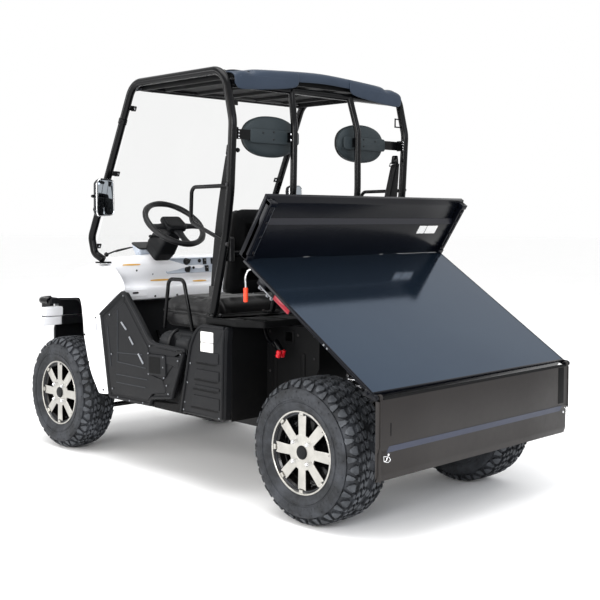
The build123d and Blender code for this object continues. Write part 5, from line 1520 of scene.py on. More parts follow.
def make_headrests():
    def ledge(z):
        return -0.0045 / (1 + math.exp((z + 0.03) / 0.0022))

    def sewn(z):
        return 0.004 * sum(math.exp(-((z - row) / 0.006) ** 2) for row in (-0.035, 0.0, 0.035))

    def plain(z):
        return 0.0

    for side, sign in SIDES:
        centre = Vector((sign * 0.303, 0.4017, 1.619))
        shell, pad = Shape(), Shape()
        shell.rings([headrest_ring(centre, size, depth, ledge if depth > 0.012 else plain) for size,
            depth in ((0.985, -0.002), (1.0, 0.004), (0.995, 0.011), (0.965, 0.0185), (0.9, 0.024),
            (0.8, 0.028), (0.66, 0.0308), (0.5, 0.0325), (0.34, 0.0335), (0.18, 0.034))])
        shell.make(f"headrest_shell_{side}", SHELL, smooth=35, replaces=["headrests"])
        pad.rings([headrest_ring(centre, size, depth, sewn if size < 0.93 else plain) for size,
            depth in ((0.95, -0.001), (0.985, -0.008), (0.97, -0.018), (0.9, -0.026), (0.72, -0.0305),
            (0.45, -0.032), (0.2, -0.0325))])
        front = pad.make(f"headrest_pad_{side}", VINYL, levels=1, smooth=60)
        brace = Shape()
        line = rounded(oblong(centre.x - 0.15, centre.z - 0.033, centre.x + 0.15, centre.z + 0.029), 0.016,
            5)
        brace.stack(line, [(0, 0.4385), (0, 0.443), (0.002, 0.444)], along_y())
        brace.make(f"headrest_brace_{side}", SHELL, bevel=0.0008, smooth=35)
        bolts = Shape()
        spots = [(-0.088 * sign, 0.012), (-0.088 * sign, -0.012), (0.01, 0.02), (0.01, -0.014),
            (0.075 * sign, 0.014)]
        screws(bolts, [(centre + Vector((px, 0.0423, pz)), (0, 1, 0)) for px, pz in spots], 0.0042, 0.003)
        bolts.make(f"headrest_screws_{side}", STEEL)
        bright = Shape()
        screws(bright, [((sign * 0.226, 0.4705, 1.619 + dz), (0, 1, 0)) for dz in (-0.013, 0.013)], 0.0062,
            0.005, True)
        screws(bright, [((sign * 0.552, 0.4785, 1.619 + dz), (0, 1, 0)) for dz in (-0.02, -0.007, 0.007,
            0.02)], 0.0036, 0.003)
        bright.make(f"headrest_bolts_{side}", CHROME)


def ribbon(shape, path, across):
    """A flat strap along a path; across gives its width direction at each point."""
    rows = []
    for k, point in enumerate(path):
        point, side = Vector(point), Vector(across[k])
        ahead = Vector(path[min(k + 1, len(path) - 1)]) - Vector(path[max(k - 1, 0)])
        up = ahead.cross(side).normalized() * 0.0009
        rows.append([point - side / 2 - up, point + side / 2 - up, point + side / 2 + up,
            point - side / 2 + up])
    shape.rings(rows)


def make_belts():
    for side, sign in SIDES:
        straps, metal, cases = Shape(), Shape(), Shape()
        top = Vector((0.552, 0.418, 1.528))
        foot = Vector((0.535, 0.292, 0.905))
        path, across = [], []
        for k in range(25):
            t = k / 24
            path.append(top.lerp(foot, t) + Vector((0.004 * math.sin(math.pi * t),
                -0.012 * math.sin(math.pi * t), 0)))
            across.append(Vector((-0.01, 0.046, 0.012)))
        ribbon(straps, path, across)
        low = Vector((0.548, 0.398, 1.16))
        path = [(top + Vector((0.002, 0.01, 0))).lerp(low,
            k / 14) + Vector((0.003 * math.sin(math.pi * k / 14), 0, 0)) for k in range(15)]
        ribbon(straps, path, [Vector((0.006, 0.046, 0.004))] * len(path))
        outline = rounded(oblong(0.528, 0.366, 0.5575, 0.428), 0.01, 4)
        cases.stack(outline, [(0.004, 1.055), (0.0, 1.06), (0.0, 1.158), (0.006, 1.166)])
        cases.prism(rounded(oblong(0.52, 0.268, 0.552, 0.318), 0.008, 4), 0.892, 0.94)
        metal.prism(rounded([(0.396, 1.528), (0.446, 1.528), (0.44, 1.572), (0.404, 1.572)], 0.008, 4),
            0.5545, 0.558, along_x())
        screws(metal, [((0.5545, 0.422, 1.56), (-1, 0, 0)), ((0.5545, 0.474, 1.545), (0, 1, 0))], 0.0085,
            0.008, True)
        metal.tube(bend_line([(0.553, 0.394, 1.534), (0.553, 0.446, 1.534), (0.546, 0.446, 1.518),
            (0.546, 0.394, 1.518)], 0.004), 0.003, 8, loop=True)
        buckle = Shape()
        buckle.prism(rounded(oblong(0.006, 0.236, 0.026, 0.264), 0.004, 3), 0.862, 0.93)
        straps, metal, cases, buckle = sided(sign, straps, metal, cases, buckle)
        straps.make(f"belt_straps_{side}", WEBBING, smooth=30, replaces=["seat_belts"])
        metal.make(f"belt_loop_{side}", COAT, bevel=0.0006)
        cases.make(f"belt_reel_{side}", GRIP, bevel=0.002, steps=3)
        buckle.make(f"belt_buckle_{side}", GRIP, bevel=0.002)


# ---- roof, mirrors, windscreen fittings ----
def roof_z(x):
    """Top of the roof panel across the vehicle: drooping wings, a step, and a crowned middle."""
    u = abs(x)
    wing = 1.9065 - 0.006 * max(0.0, (u - 0.5) / 0.056) ** 2
    middle = 1.94 - 0.022 * (u / 0.42) ** 1.3
    blend = 1 / (1 + math.exp((u - 0.436) / 0.005))
    return wing * (1 - blend) + middle * blend - 0.009 * math.exp(-((u - 0.452) / 0.01) ** 2)


def make_roof():
    across = [0.556, 0.552, 0.54, 0.5, 0.475, 0.462, 0.452, 0.443, 0.434, 0.42, 0.38, 0.3, 0.2, 0.1, 0.0]
    across = across + [-x for x in reversed(across[:-1])]
    rows = []
    for y, drop in ((-0.299, 0.034), (-0.298, 0.014), (-0.288, 0.003), (-0.26, 0.0), (-0.14, 0.0),
            (0.02, 0.0), (0.18, 0.0), (0.32, 0.0), (0.4, 0.001), (0.43, 0.004), (0.447, 0.009),
            (0.456, 0.019), (0.459, 0.036), (0.4592, 0.057)):
        row = []
        for x in across:
            edge = max(0.0, (abs(x) - 0.5) / 0.056)
            corner = max(0.0, (y - 0.4) / 0.056) * 0.008
            row.append((x, y, roof_z(x) - drop - (0.004 + corner) * edge ** 2))
        rows.append(row)
    panel = Shape()
    panel.sheet(rows)
    panel.make("roof_skin", ROOF, levels=1, solid=0.006, smooth=50, replaces=["roof_panel"])
    # The rear flange: two lobes that hang behind the header, each with a raised panel.
    for side, sign in SIDES:
        lobe = Shape()
        rows = []
        for x, low in ((0.172, 1.872), (0.18, 1.856), (0.2, 1.845), (0.3, 1.832), (0.4, 1.822),
                (0.443, 1.819), (0.455, 1.818), (0.48, 1.816), (0.525, 1.813), (0.548, 1.819),
                (0.557, 1.838)):
            top = roof_z(x) - 0.004 - 0.01 * max(0.0, (x - 0.5) / 0.056) ** 2
            rows.append([(x, 0.448, top - 0.006), (x, 0.459, top - 0.018), (x, 0.4612, top - 0.04),
                (x, 0.4618, (top - 0.04) * 0.5 + low * 0.5), (x, 0.4618, low + 0.01), (x, 0.46, low)])
        lobe.sheet(rows)
        step = Shape()
        step.prism(rounded([(0.215, 1.858), (0.535, 1.833), (0.53, 1.876), (0.235, 1.888)], 0.014, 5), 0.46,
            0.4635, along_y())
        lobe, step = sided(sign, lobe, step)
        lobe.make(f"roof_lobe_{side}", ROOF, levels=1, solid=0.005, offset=0.0, smooth=50)
        step.make(f"roof_lobe_panel_{side}", ROOF, bevel=0.003, steps=3)
    # Under the skin: a shallow liner with a deep lip all round, and ribs across it.
    under = Shape()
    lip = rounded(oblong(-0.545, -0.285, 0.545, 0.425), 0.03, 4)
    under.stack(lip, [(0, 1.902), (0, 1.868), (0.003, 1.866), (0.022, 1.866), (0.026, 1.886)])
    for x in (-0.4, -0.2, 0.0, 0.2, 0.4):
        under.prism(((x - 0.02, 1.888), (x - 0.012, 1.872), (x + 0.012, 1.872), (x + 0.02, 1.888)), -0.24,
            0.38, along_y())
    under.make("roof_liner", LINER, bevel=0.002)
    bolts = Shape()
    screws(bolts, [((sx * 0.515, y, roof_z(0.515)), (0, 0, 1)) for sx in (-1, 1) for y in (-0.15, 0.1,
        0.33)], 0.009, 0.006, True)
    bolts.make("roof_bolts", GRIP)


def make_mirrors():
    for side, sign in SIDES:
        low = Vector((0.6, -0.475, 1.252))
        high = Vector((0.702, -0.415, 1.44))
        outline = rounded([(low.x, low.z + 0.006), (high.x - 0.008, low.z), (high.x, low.z + 0.02), (high.x,
            high.z - 0.02), (high.x - 0.02, high.z), (low.x, high.z - 0.004)], [0.028, 0.02, 0.03, 0.03,
            0.02, 0.024], 6)
        shell, glass, rim_line, stub = Shape(), Shape(), Shape(), Shape()
        rows = []
        for y, small in ((high.y, 0.0), (high.y - 0.012, 0.0), (high.y - 0.035, 0.006), (high.y - 0.05,
                0.018), (low.y, 0.034)):
            rows.append([(x, y, z) for x, z in (shrink(outline, small) if small else outline)])
        shell.rings(rows[::-1])
        rim_line.tube([(x, high.y - 0.0005, z) for x, z in shrink(outline, 0.002)], 0.003, 8, loop=True)
        glass.prism(shrink(outline, 0.007), high.y - 0.002, high.y + 0.0008, along_y())
        stub.tube(bend_line([(0.602, -0.552, 1.34), (0.628, -0.51, 1.34), (0.65, -0.47, 1.34)], 0.02), 0.009,
            14)
        stub.lathe([(0.015, -0.01), (0.0165, 0.0), (0.015, 0.01)], facing((0.606, -0.545, 1.34), (0.5, 0.85,
            0)), 24)
        stub.lathe([(0.0075, -0.018), (0.008, 0.006), (0.006, 0.012), (0.0, 0.0125)], facing((0.6995, -0.445,
            1.352), (1, 0, 0)), 20)
        shell, glass, rim_line, stub = sided(sign, shell, glass, rim_line, stub)
        shell.make(f"mirror_shell_{side}", BLACK, bevel=0.002, smooth=50, replaces=["mirrors"])
        rim_line.make(f"mirror_rim_{side}", CHROME)
        glass.make(f"mirror_glass_{side}", MIRROR, bevel=0.0005)
        stub.make(f"mirror_arm_{side}", COAT, bevel=0.0006)


def screen_y(z):
    return -0.558 + 0.467 * (z - 1.303)


def make_screen_fittings():
    clips, pads = Shape(), Shape()
    slope = Vector((0, 0.467, 1)).normalized()
    out = Vector((0, 1, -0.467)).normalized()
    for sign in (-1, 1):
        for z in (1.1, 1.468, 1.784):
            place = Matrix.Translation((sign * 0.545, screen_y(z) + 0.0065, z)) @ Matrix((Vector((1, 0, 0)),
                slope, out)).transposed().to_4x4()
            clips.prism(rounded(oblong(-0.016, -0.013, 0.013, 0.013), 0.004, 3), -0.001, 0.005, place)
            pads.lathe([(0.0072, 0.004), (0.0072, 0.0068), (0.005, 0.0076), (0.0, 0.0076)], place, 20)
    clips.make("screen_clips", GRIP, bevel=0.0012)
    pads.make("screen_clip_screws", ZINC)
    wiper = Shape()
    front = -0.009
    a = Vector((0.47, screen_y(1.052) + front, 1.052))
    b = Vector((0.33, screen_y(1.088) + front, 1.088))
    wiper.tube([a, a.lerp(b, 0.5) + Vector((0, -0.006, 0.004)), b], [0.0048, 0.004, 0.0032], 10)
    wiper.lathe([(0.011, -0.006), (0.011, 0.006), (0.008, 0.009)], facing(a, (0, -1, 0.47)), 24)
    c = Vector((0.42, screen_y(1.066) - 0.005, 1.066))
    d = Vector((0.215, screen_y(1.112) - 0.005, 1.112))
    wiper.tube([c, d], 0.0034, 8)
    wiper.make("wiper", GRIP)


def make_cab():
    make_dash()
    make_steering()
    make_seats()
    make_seat_base()
    make_headrests()
    make_belts()
    make_roof()
    make_mirrors()
    make_screen_fittings()


# ---- dump bed ----
TAILGATE_PIN = Vector((0, 1.3835, 0.588))
BED_AHEAD = Vector((0, -math.cos(BED_TILT), math.sin(BED_TILT)))
BED_UP = Vector((0, math.sin(BED_TILT), math.cos(BED_TILT)))
BED_PLACE = Matrix.Translation(TAILGATE_PIN) @ Matrix((Vector((1, 0, 0)), -BED_AHEAD,
    BED_UP)).transposed().to_4x4()


def on_bed(x, s, n):
    """A point of the bed: s forwards from the tailgate's pin, n up from the deck."""
    return BED_PLACE @ Vector((x, -s, n))


# Local X, Y and Z become the bed's s, n and x, for outlines given as (s, n); and its x, s and n.
BED_ACROSS = BED_PLACE @ Matrix(((0, 0, 1, 0), (-1, 0, 0, 0), (0, 1, 0, 0), (0, 0, 0, 1)))
BED_TOP = BED_PLACE @ Matrix(((1, 0, 0, 0), (0, -1, 0, 0), (0, 0, 1, 0), (0, 0, 0, 1)))


def make_deck():
    """Pressed deck: one sheet with folded skirts, a rolled edge, hinge brackets and side reflectors."""
    front, rear, half = 0.891, 0.02, 0.66

    def rim_line(inset):
        return rounded(oblong(-half + inset, rear + inset, half - inset, front - inset * 0.2), max(0.001,
            0.006 - inset), 4)

    def foot_line(inset):
        return rounded(oblong(-half + inset, rear + inset * 0.05, half - inset, front), 0.001, 4)

    deck, field, folds = Shape(), Shape(), Shape()
    levels = [(foot_line, 0.032, -0.034), (foot_line, 0.03, -0.033), (foot_line, 0.03, -0.013), (foot_line,
        0.002, -0.0125), (foot_line, 0.0, -0.011), (rim_line, 0.0, -0.002), (rim_line, 0.0012, 0.0005),
        (rim_line, 0.003, 0.001)]
    deck.rings([[BED_TOP @ Vector((*p, n)) for p in line(inset)] for line, inset, n in levels])
    deck.prism([(0.028, -0.03), (0.032, -0.03), (0.032, -0.052), (0.028, -0.052)], -0.636, 0.636, BED_ACROSS)
    deck.make("deck_skirt", HEADBOARD, "bed", smooth=32, replaces=["bed_deck"])
    field.rings([[BED_TOP @ Vector((*p, n)) for p in rim_line(inset)] for inset, n in ((0.0035, -0.001),
        (0.003, 0.0016), (0.0036, 0.002))])
    field.make("deck_sheet", BED, "bed", smooth=32)
    for x in (-0.6555, 0.6555):
        folds.rings([[on_bed(x + dx, s, n) for dx, n in ((-0.0022, 0.0018), (-0.0018, 0.0034), (0.0018,
            0.0034), (0.0022, 0.0018))] for s in (0.022, 0.2, 0.4, 0.6, 0.8, 0.889)])
    folds.rings([[on_bed(x, 0.0245 + ds, n) for ds, n in ((-0.004, 0.0018), (-0.0035, 0.0038), (0.0035,
        0.0038), (0.004, 0.0018))] for x in (-0.657, -0.3, 0.0, 0.3, 0.657)])
    folds.make("deck_edge_fold", HEADBOARD, "bed", bevel=0.0008)
    brackets, trims, holders = Shape(), Shape(), Shape()
    ear = [(0.06, -0.034), (0.06, -0.004), (0.024, 0.001), (0.006, 0.011), (-0.006, 0.008), (-0.011, -0.002),
        (-0.008, -0.012)]
    for sign in (-1, 1):
        part = Shape()
        part.prism(ear, 0.6555, 0.6615, BED_ACROSS)
        part.tube([on_bed(0.632, 0, 0), on_bed(0.6655, 0, 0)], 0.006, 18)
        part.lathe([(0.011, 0.0), (0.011, 0.0022), (0.0065, 0.0026)], facing(on_bed(0.6615, 0, 0),
            (1, 0, 0)), 24)
        screws(part, [(on_bed(0.6615, 0.044, -0.014), (1, 0, 0))], 0.0075, 0.0055, True)
        brackets.join(sided(sign, part))
    brackets.make("deck_hinge_brackets", HEADBOARD, "bed", bevel=0.0012)
    for sign in (-1, 1):
        for shape, low, high, grow in ((holders, 0.642, 0.647, 0.003), (trims, 0.6465, 0.652, 0.0)):
            line = rounded(oblong(0.556 - grow, -0.015, 0.662 + grow, -0.038 - grow), 0.005, 4)
            shape.stack(line, [(0, sign * low), (0, sign * high), (0.002, sign * (high + 0.0012))],
                BED_ACROSS)
        holders.prism(oblong(0.59, -0.016, 0.628, -0.036), sign * 0.625, sign * 0.643, BED_ACROSS)
    holders.make("side_reflector_holders", HEADBOARD, "bed", bevel=0.0008)
    trims.make("side_reflectors", REFLEX, "bed", bevel=0.001)


PANEL_STEPS = ((0.0, 0.0), (0.0, 0.575), (0.004, 0.6), (0.0118, 0.66), (0.012, 0.9), (0.0128, 0.935),
    (0.0196, 0.99), (0.02, 1.0))


def folded_skin(name, finish, body, place, half, high, depth, replaces):
    """A pressed panel: creased face, top lip turned back, and end flanges, as one sheet."""
    face = [(-back, share * high) for back, share in PANEL_STEPS]
    inside = [(y - 0.003, min(z, high - 0.003)) for y, z in reversed(face)]
    section = face + [(-depth, high), (-depth, high - 0.01), (-depth + 0.003, high - 0.01), (-depth + 0.003,
        high - 0.003)] + inside
    skin, ends = Shape(), Shape()
    skin.rings([[place @ Vector((x, *p)) for p in section] for x in (-half, -half / 2, 0.0, half / 2, half)])
    skin.make(name, finish, body, bevel=0.0012, smooth=35, replaces=replaces)
    for x in (-half, half - 0.003):
        ends.prism(face + [(-depth, high), (-depth, 0.0)], x, x + 0.003, place @ along_x())
    ends.make(f"{name}_ends", finish, body, bevel=0.001)


def painted_reflection_band(name, finish, body, place, half, high):
    """A film along a pressed panel's crease, which faces up a little; its bluish colour is a painted
    reflection of the sky.
    """
    band = Shape()
    steps = [(back, share) for back, share in PANEL_STEPS if 0.57 < share < 0.67]
    band.sheet([[place @ Vector((x, -back * 0.98 + 0.0006, share * high)) for back, share in steps]
        for x in (-half, -half / 2, 0.0, half / 2, half)])
    band.make(name, finish, body, solid=0.0004, offset=0.0)


def make_headboard():
    place = BED_PLACE @ Matrix.Translation((0, -0.891, 0.002))
    folded_skin("headboard_skin", HEADBOARD, "bed", place, 0.66, 0.3, 0.038, ["bed_headboard"])
    painted_reflection_band("headboard_swage_painted_reflection", FOLD_REFLECTION, "bed", place, 0.64, 0.3)
    posts = Shape()
    for sign in (-1, 1):
        post = Shape()
        # Channel folded round the panel's end, standing proud of the face.
        outline = [(0.627, 0.01), (0.6285, 0.0125), (0.657, 0.0125), (0.66, 0.01), (0.66, -0.02),
            (0.627, -0.02)]
        post.stack([(x, y * 0.9) for x, y in outline], [(0, 0.004), (0, 0.15), (0, 0.285)], place)
        post.prism(((0.64, 0.0112), (0.654, 0.0112), (0.654, 0.015), (0.64, 0.015)), 0.03, 0.262, place)
        for z in (0.278, 0.012):
            post.prism(rounded(oblong(0.622, -0.024, 0.66, 0.016), 0.004, 3), z + -0.01, z + 0.012, place)
        posts.join(sided(sign, post))
    posts.make("headboard_posts", HEADBOARD, "bed", bevel=0.0014)
    bolts = Shape()
    for sign in (-1, 1):
        spots = [(place @ Vector((sign * 0.64, 0.0135, z)), BED_PLACE.to_3x3() @ Vector((0, 1, 0)))
            for z in (0.04, 0.12, 0.19, 0.245)]
        spots += [(place @ Vector((sign * 0.648, -0.006, 0.289)), BED_PLACE.to_3x3() @ Vector((0, 0, 1)))]
        screws(bolts, spots, 0.0055, 0.004, True)
    bolts.make("headboard_bolts", STEEL, "bed")
    # Plain, unprinted film on the headboard's face.
    film = Shape()
    for xa, xb in ((-0.53, -0.45), (-0.445, -0.39)):
        film.prism(rounded(oblong(xa, 0.118, xb, 0.162), 0.003, 3), 0.0 + 0.0, 0.0 + 0.0009,
            place @ along_y())
    film.make("headboard_film", WHITE_FILM, "bed")
    edge = Shape()
    edge.prism(oblong(0.6267, 0.0112, 0.6283, 0.0127), 0.012, 0.28, place)
    edge.make("headboard_worn_edge", DULL_ZINC, "bed")


def make_tailgate():
    place = Matrix.Translation(TAILGATE_PIN) @ Matrix.Rotation(math.pi, 4, "Y") @ Matrix.Translation((0,
        0.012, 0.008))
    folded_skin("tailgate_skin", GATE, "tailgate", place, 0.65, 0.312, 0.024, ["tailgate"])
    frame_line, rods = Shape(), Shape()
    # Lower flange, hinge barrels and the stiffened ends with their latch slots.
    for sign in (-1, 1):
        part = Shape()
        at = Matrix.Translation(TAILGATE_PIN)
        part.lathe(oblong(0.0068, 0.0, 0.011, 0.016), at @ Matrix.Translation((0.634, 0,
            0)) @ Matrix.Rotation(math.pi / 2, 4, "Y"), 28, closed=True)
        part.prism(((0.634, -0.0105), (0.65, -0.0105), (0.65, 0.011), (0.634, 0.011)), -0.016, -0.004, at)
        part.prism(((0.6455, -0.012), (0.65, -0.012), (0.65, -0.318 if sign > 0 else -0.2), (0.6455, -0.318
            if sign > 0 else -0.2)), 0.01, 0.0142, at @ along_y())
        frame_line.join(sided(sign, part))
    frame_line.make("tailgate_corners", GATE, "tailgate", bevel=0.001)
    shade_slots = Shape()
    # Recess for the latch at the right-hand end, and the hole for it at the other, drawn as flat dark
    # patches: painted shade inside the recess and the hole.
    for x_low, x_high, top, low in ((-0.612, -0.566, -0.012, -0.176), (0.586, 0.592, -0.1, -0.15)):
        ring = rounded(oblong(x_low, top, x_high, low), 0.002, 3)
        shade_slots.stack(ring, [(0, 0.0115), (0, 0.0126)], Matrix.Translation(TAILGATE_PIN) @ along_y())
    shade_slots.make("tailgate_slots", LINER, "tailgate", bevel=0.0003)
    # A near-black strip along the tailgate's top edge: a painted shadow line.
    seam = Shape()
    seam.rings([[TAILGATE_PIN + Vector((x, y, z)) for y, z in ((-0.0105, -0.008), (-0.0105, -0.004),
        (0.011, -0.004), (0.0125, -0.0055), (0.0125, -0.01), (0.011, -0.008))] for x in (-0.632, 0.0,
        0.632)])
    seam.make("tailgate_top_painted_shadow", LINER, "tailgate")
    painted_reflection_band("tailgate_swage_painted_reflection", CREASE_REFLECTION, "tailgate", place, 0.6, 0.312)
    for sign in (-1, 1):
        hook = Shape()
        base = TAILGATE_PIN + Vector((0.618, 0.0165, -0.229))
        if sign > 0:
            path = [(0.016, 0.0, 0.01), (-0.012, 0.002, 0.004), (-0.018, 0.004, -0.008), (-0.004, 0.005,
                -0.015), (0.018, 0.003, -0.008)]
            hook.tube([base + Vector(p) for p in bend_line(path + path[:1], 0.004)], 0.0017, 10)
            hook.tube([base + Vector(p) for p in ((-0.004, 0.000, 0.004), (0.006, 0.006, -0.004),
                (0.012, 0.002, -0.01))], 0.0016, 8)
        else:
            path = [(-0.006, 0.0, 0.034), (0.008, 0.003, 0.02), (0.004, 0.005, 0.002), (0.022, 0.004,
                -0.004), (0.026, 0.003, -0.02), (0.036, 0.002, -0.028)]
            hook.tube([base + Vector(p) for p in bend_line(path, 0.006)], 0.002, 10)
            hook.tube([base + Vector(p) for p in bend_line([(0.008, 0.0, 0.012), (0.02, 0.004, 0.014),
                (0.028, 0.004, 0.002), (0.018, 0.003, -0.012)], 0.004)], 0.0017, 10)
        screws(hook, [(base + Vector((-0.012, -0.002, 0.012)), (0, 1, 0))], 0.0042, 0.003, True)
        rods.join(sided(sign, hook))
    rods.make("tailgate_hooks", CHROME, "tailgate", replaces=["tailgate_latches"])


def make_release():
    """Bent, plated rod from the bed latch down to an orange dipped grip."""
    x = 0.64
    grip_middle = on_bed(x, 0.817, -0.132)
    rod = Shape()
    top = grip_middle + Vector((0, 0, 0.026))
    path = [on_bed(0.632, 0.852, -0.022), on_bed(0.64, 0.862, -0.036), top + Vector((0, -0.004, 0.05)),
        top + Vector((0, 0, 0.02)), top + Vector((0, 0, -0.004))]
    rod.tube(bend_line(path, 0.014), 0.0042, 14)
    rod.make("release_rod", CHROME, "bed", replaces=["bed_release_handle"])
    grip = Shape()
    profile = [(0.0045, 0.031), (0.0085, 0.03), (0.01, 0.026)]
    for k in range(9):
        z = 0.022 - 0.0055 * k
        profile += [(0.01, z), (0.0092, z - 0.0016), (0.01, z - 0.0032)]
    profile += [(0.0098, -0.028), (0.008, -0.0305), (0.0, -0.0315)]
    grip.lathe([(r, -z) for r, z in profile], Matrix.Translation(grip_middle) @ Matrix.Rotation(math.pi, 4,
        "X"), 32)
    grip.make("release_grip", ORANGE, "bed", bevel=0.0004, smooth=50)
    plate = Shape()
    plate.prism(rounded(oblong(0.745, -0.033, 0.8, -0.06), 0.006, 4), 0.622, 0.6265, BED_ACROSS)
    plate.make("release_plate", HEADBOARD, "bed", bevel=0.0008)
    fittings = Shape()
    fittings.tube([on_bed(0.646, 0.762, -0.043), on_bed(0.646, 0.668, -0.043)], 0.0036, 12)
    fittings.tube(bend_line([on_bed(0.64, 0.752, -0.058), on_bed(0.64, 0.735, -0.05), on_bed(0.64, 0.745,
        -0.043)], 0.003), 0.0026, 10)
    screws(fittings, [(on_bed(0.6465, 0.756, -0.049), (1, 0, 0)), (on_bed(0.6465, 0.7, -0.049), (1, 0, 0)),
        (on_bed(0.648, 0.672, -0.045), (1, 0, 0))], 0.0062, 0.006, True)
    for s in (0.3, 0.322):
        screws(fittings, [(on_bed(0.66, s, -0.0065), (1, 0, 0))], 0.0036, 0.003, True)
    fittings.make("release_latch_rods", DULL_ZINC, "bed", bevel=0.0004)


# Eyes of the left front shock absorber.
SHOCK_HIGH = Vector((0.232, FRONT_AXLE_Y, 0.59))
SHOCK_FOOT = Vector((0.338, FRONT_AXLE_Y, 0.238))


def helix(shape, low, high, radius, wire, turns):
    """A compression spring between two points, its end turns closed."""
    low, high = Vector(low), Vector(high)
    place = facing(low, high - low)
    length = (high - low).length
    points = []
    steps = int(turns * 20)
    for k in range(steps + 1):
        t = k / steps
        rise = (t - math.sin(2 * math.pi * t) / (2 * math.pi) * 0.45)
        angle = 2 * math.pi * turns * t
        points.append(place @ Vector((radius * math.cos(angle), radius * math.sin(angle),
            wire + (length - 2 * wire) * rise)))
    shape.tube(points, wire, 10)


def make_springs():
    coils, bodies = Shape(), Shape()
    ends = [((0.33, 0.9775, 0.64), (0.33, 0.9515, 0.3615), 0.022), (SHOCK_HIGH, SHOCK_FOOT, 0.02)]
    for top, low, radius in ends:
        top, low = Vector(top), Vector(low)
        run = (top - low).normalized()
        length = (top - low).length
        at = facing(low, run)
        for sign in (-1, 1):
            coil, damper = Shape(), Shape()
            helix(coil, low + run * 0.062, low + run * (length - 0.044), radius + 0.0125, 0.0058, 6.5)
            damper.lathe([(0.0, 0.022), (radius * 0.7, 0.024), (radius, 0.032), (radius, 0.049),
                (radius + 0.017, 0.05), (radius + 0.018, 0.055), (radius + 0.014, 0.061), (radius, 0.062),
                (radius, length * 0.5), (radius * 0.8, length * 0.51), (0.0065, length * 0.515), (0.0065,
                length - 0.044), (radius + 0.014, length - 0.043), (radius + 0.017, length - 0.036),
                (radius + 0.015, length - 0.03), (0.014, length - 0.024), (0.012, length - 0.008),
                (0.0, length - 0.007)], at, 36)
            for eye in (top, low):
                damper.lathe([(0.0065, -0.015), (0.015, -0.015), (0.016, -0.012), (0.016, 0.012),
                    (0.015, 0.015), (0.0065, 0.015)], facing(eye, (0, 1, 0)), 28, closed=True)
            coils.join(sided(sign, coil))
            bodies.join(sided(sign, damper))
    bodies.make("damper_bodies", STEEL, bevel=0.0006, replaces=["shock_absorbers"])
    coils.make("damper_springs", ZINC)


def make_rear_corner():
    """Rear shelf, the well inside the rear wheel, lock lever and its red knob."""
    shelf = Shape()
    top, low = 0.805, 0.776
    outline = [(-0.604, 0.303), (0.604, 0.303), (0.604, 0.52), (0.56, 0.6), (0.545, 0.639), (-0.545, 0.639),
        (-0.56, 0.6), (-0.604, 0.52)]
    outline = rounded(outline, 0.018, 4)
    rows = [[(x, y, z) for x, y in (shrink(outline, inset) if inset else outline)] for inset,
        z in ((0.003, low), (0.0, low + 0.003), (0.0, top - 0.006), (0.004, top - 0.0005), (0.016, top),
        (0.02, top - 0.003), (0.1, top - 0.003))]
    shelf.rings(rows)
    shelf.make("shelf_moulding", LINER, bevel=0.002, smooth=35, replaces=["rear_shelf"])
    ribs = Shape()
    for x in [-0.5 + 0.125 * k for k in range(9)]:
        ribs.rings([[(x + dx, y, top - 0.003 + dz) for dx, dz in ((-0.006, 0), (-0.004, 0.0028),
            (0.004, 0.0028), (0.006, 0))] for y in (0.41, 0.6)])
    ribs.make("shelf_ribs", LINER, bevel=0.001)
    lever = Shape()
    path = [(0.43, 0.508, 0.775), (0.43, 0.516, 0.74), (0.43, 0.54, 0.706), (0.43, 0.612, 0.672)]
    lever.tube(bend_line(path, 0.02), 0.0085, 14)
    lever.lathe([(0.0125, -0.03), (0.014, -0.026), (0.014, 0.02), (0.01, 0.026)], facing((0.43, 0.6035,
        0.686), (0, 0.66, -0.75)), 24)
    lever.lathe([(0.02, 0.0), (0.022, 0.003), (0.022, 0.01), (0.012, 0.013)], facing((0.43, 0.508, 0.776),
        (0, 0, -1)), 28)
    lever.make("lock_lever_arm", COAT, bevel=0.0008, replaces=["bed_lock_lever"])
    knob = Shape()
    for dx in (-0.0125, 0.0125):
        knob.lathe([(0.0, -0.017), (0.0095, -0.016), (0.0118, -0.012), (0.0118, -0.003), (0.0102, -0.001),
            (0.0118, 0.001), (0.0118, 0.013), (0.009, 0.0165), (0.0, 0.017)], Matrix.Translation((0.43 + dx,
            0.6195, 0.655)) @ Matrix.Rotation(math.radians(-20), 4, "X"), 28)
    knob.stack(rounded(oblong(0.417, 0.6105, 0.443, 0.6285), 0.003, 3), [(0, 0.644), (0, 0.668)])
    knob.make("lock_lever_knob", RED, bevel=0.001)
    edges = Shape()
    for sign in (-1, 1):
        part = Shape()
        # Frame of the square opening in the panel inside the wheel.
        hole = oblong(0.59, 0.704, 0.634, 0.746)
        outer = oblong(0.58, 0.694, 0.644, 0.756)
        outer, hole = rounded(outer, 0.008, 4), rounded(hole, 0.006, 4)
        part.rings([[(0.3712, y, z) for y, z in outer], [(0.375, y, z) for y, z in outer], [(0.376, y, z)
            for y, z in hole], [(0.3712, y, z) for y, z in hole]], caps=False)
        for y in (0.52, 0.7):
            part.prism(rounded(oblong(y - 0.014, 0.44, y + 0.014, 0.66), 0.012, 5), 0.3705 + 0.0,
                0.3705 + 0.0045, along_x())
        edges.join(sided(sign, part))
    edges.make("wheel_well_ribs", LINER, bevel=0.0015)
    studs = Shape()
    for sign in (-1, 1):
        screws(studs, [((sign * 0.3715, y, z), (sign, 0, 0)) for y, z in ((0.487, 0.74), (0.487, 0.56),
            (0.487, 0.4), (0.668, 0.735), (0.77, 0.74), (0.77, 0.64))], 0.0065, 0.0035)
    studs.make("wheel_well_studs", STEEL)


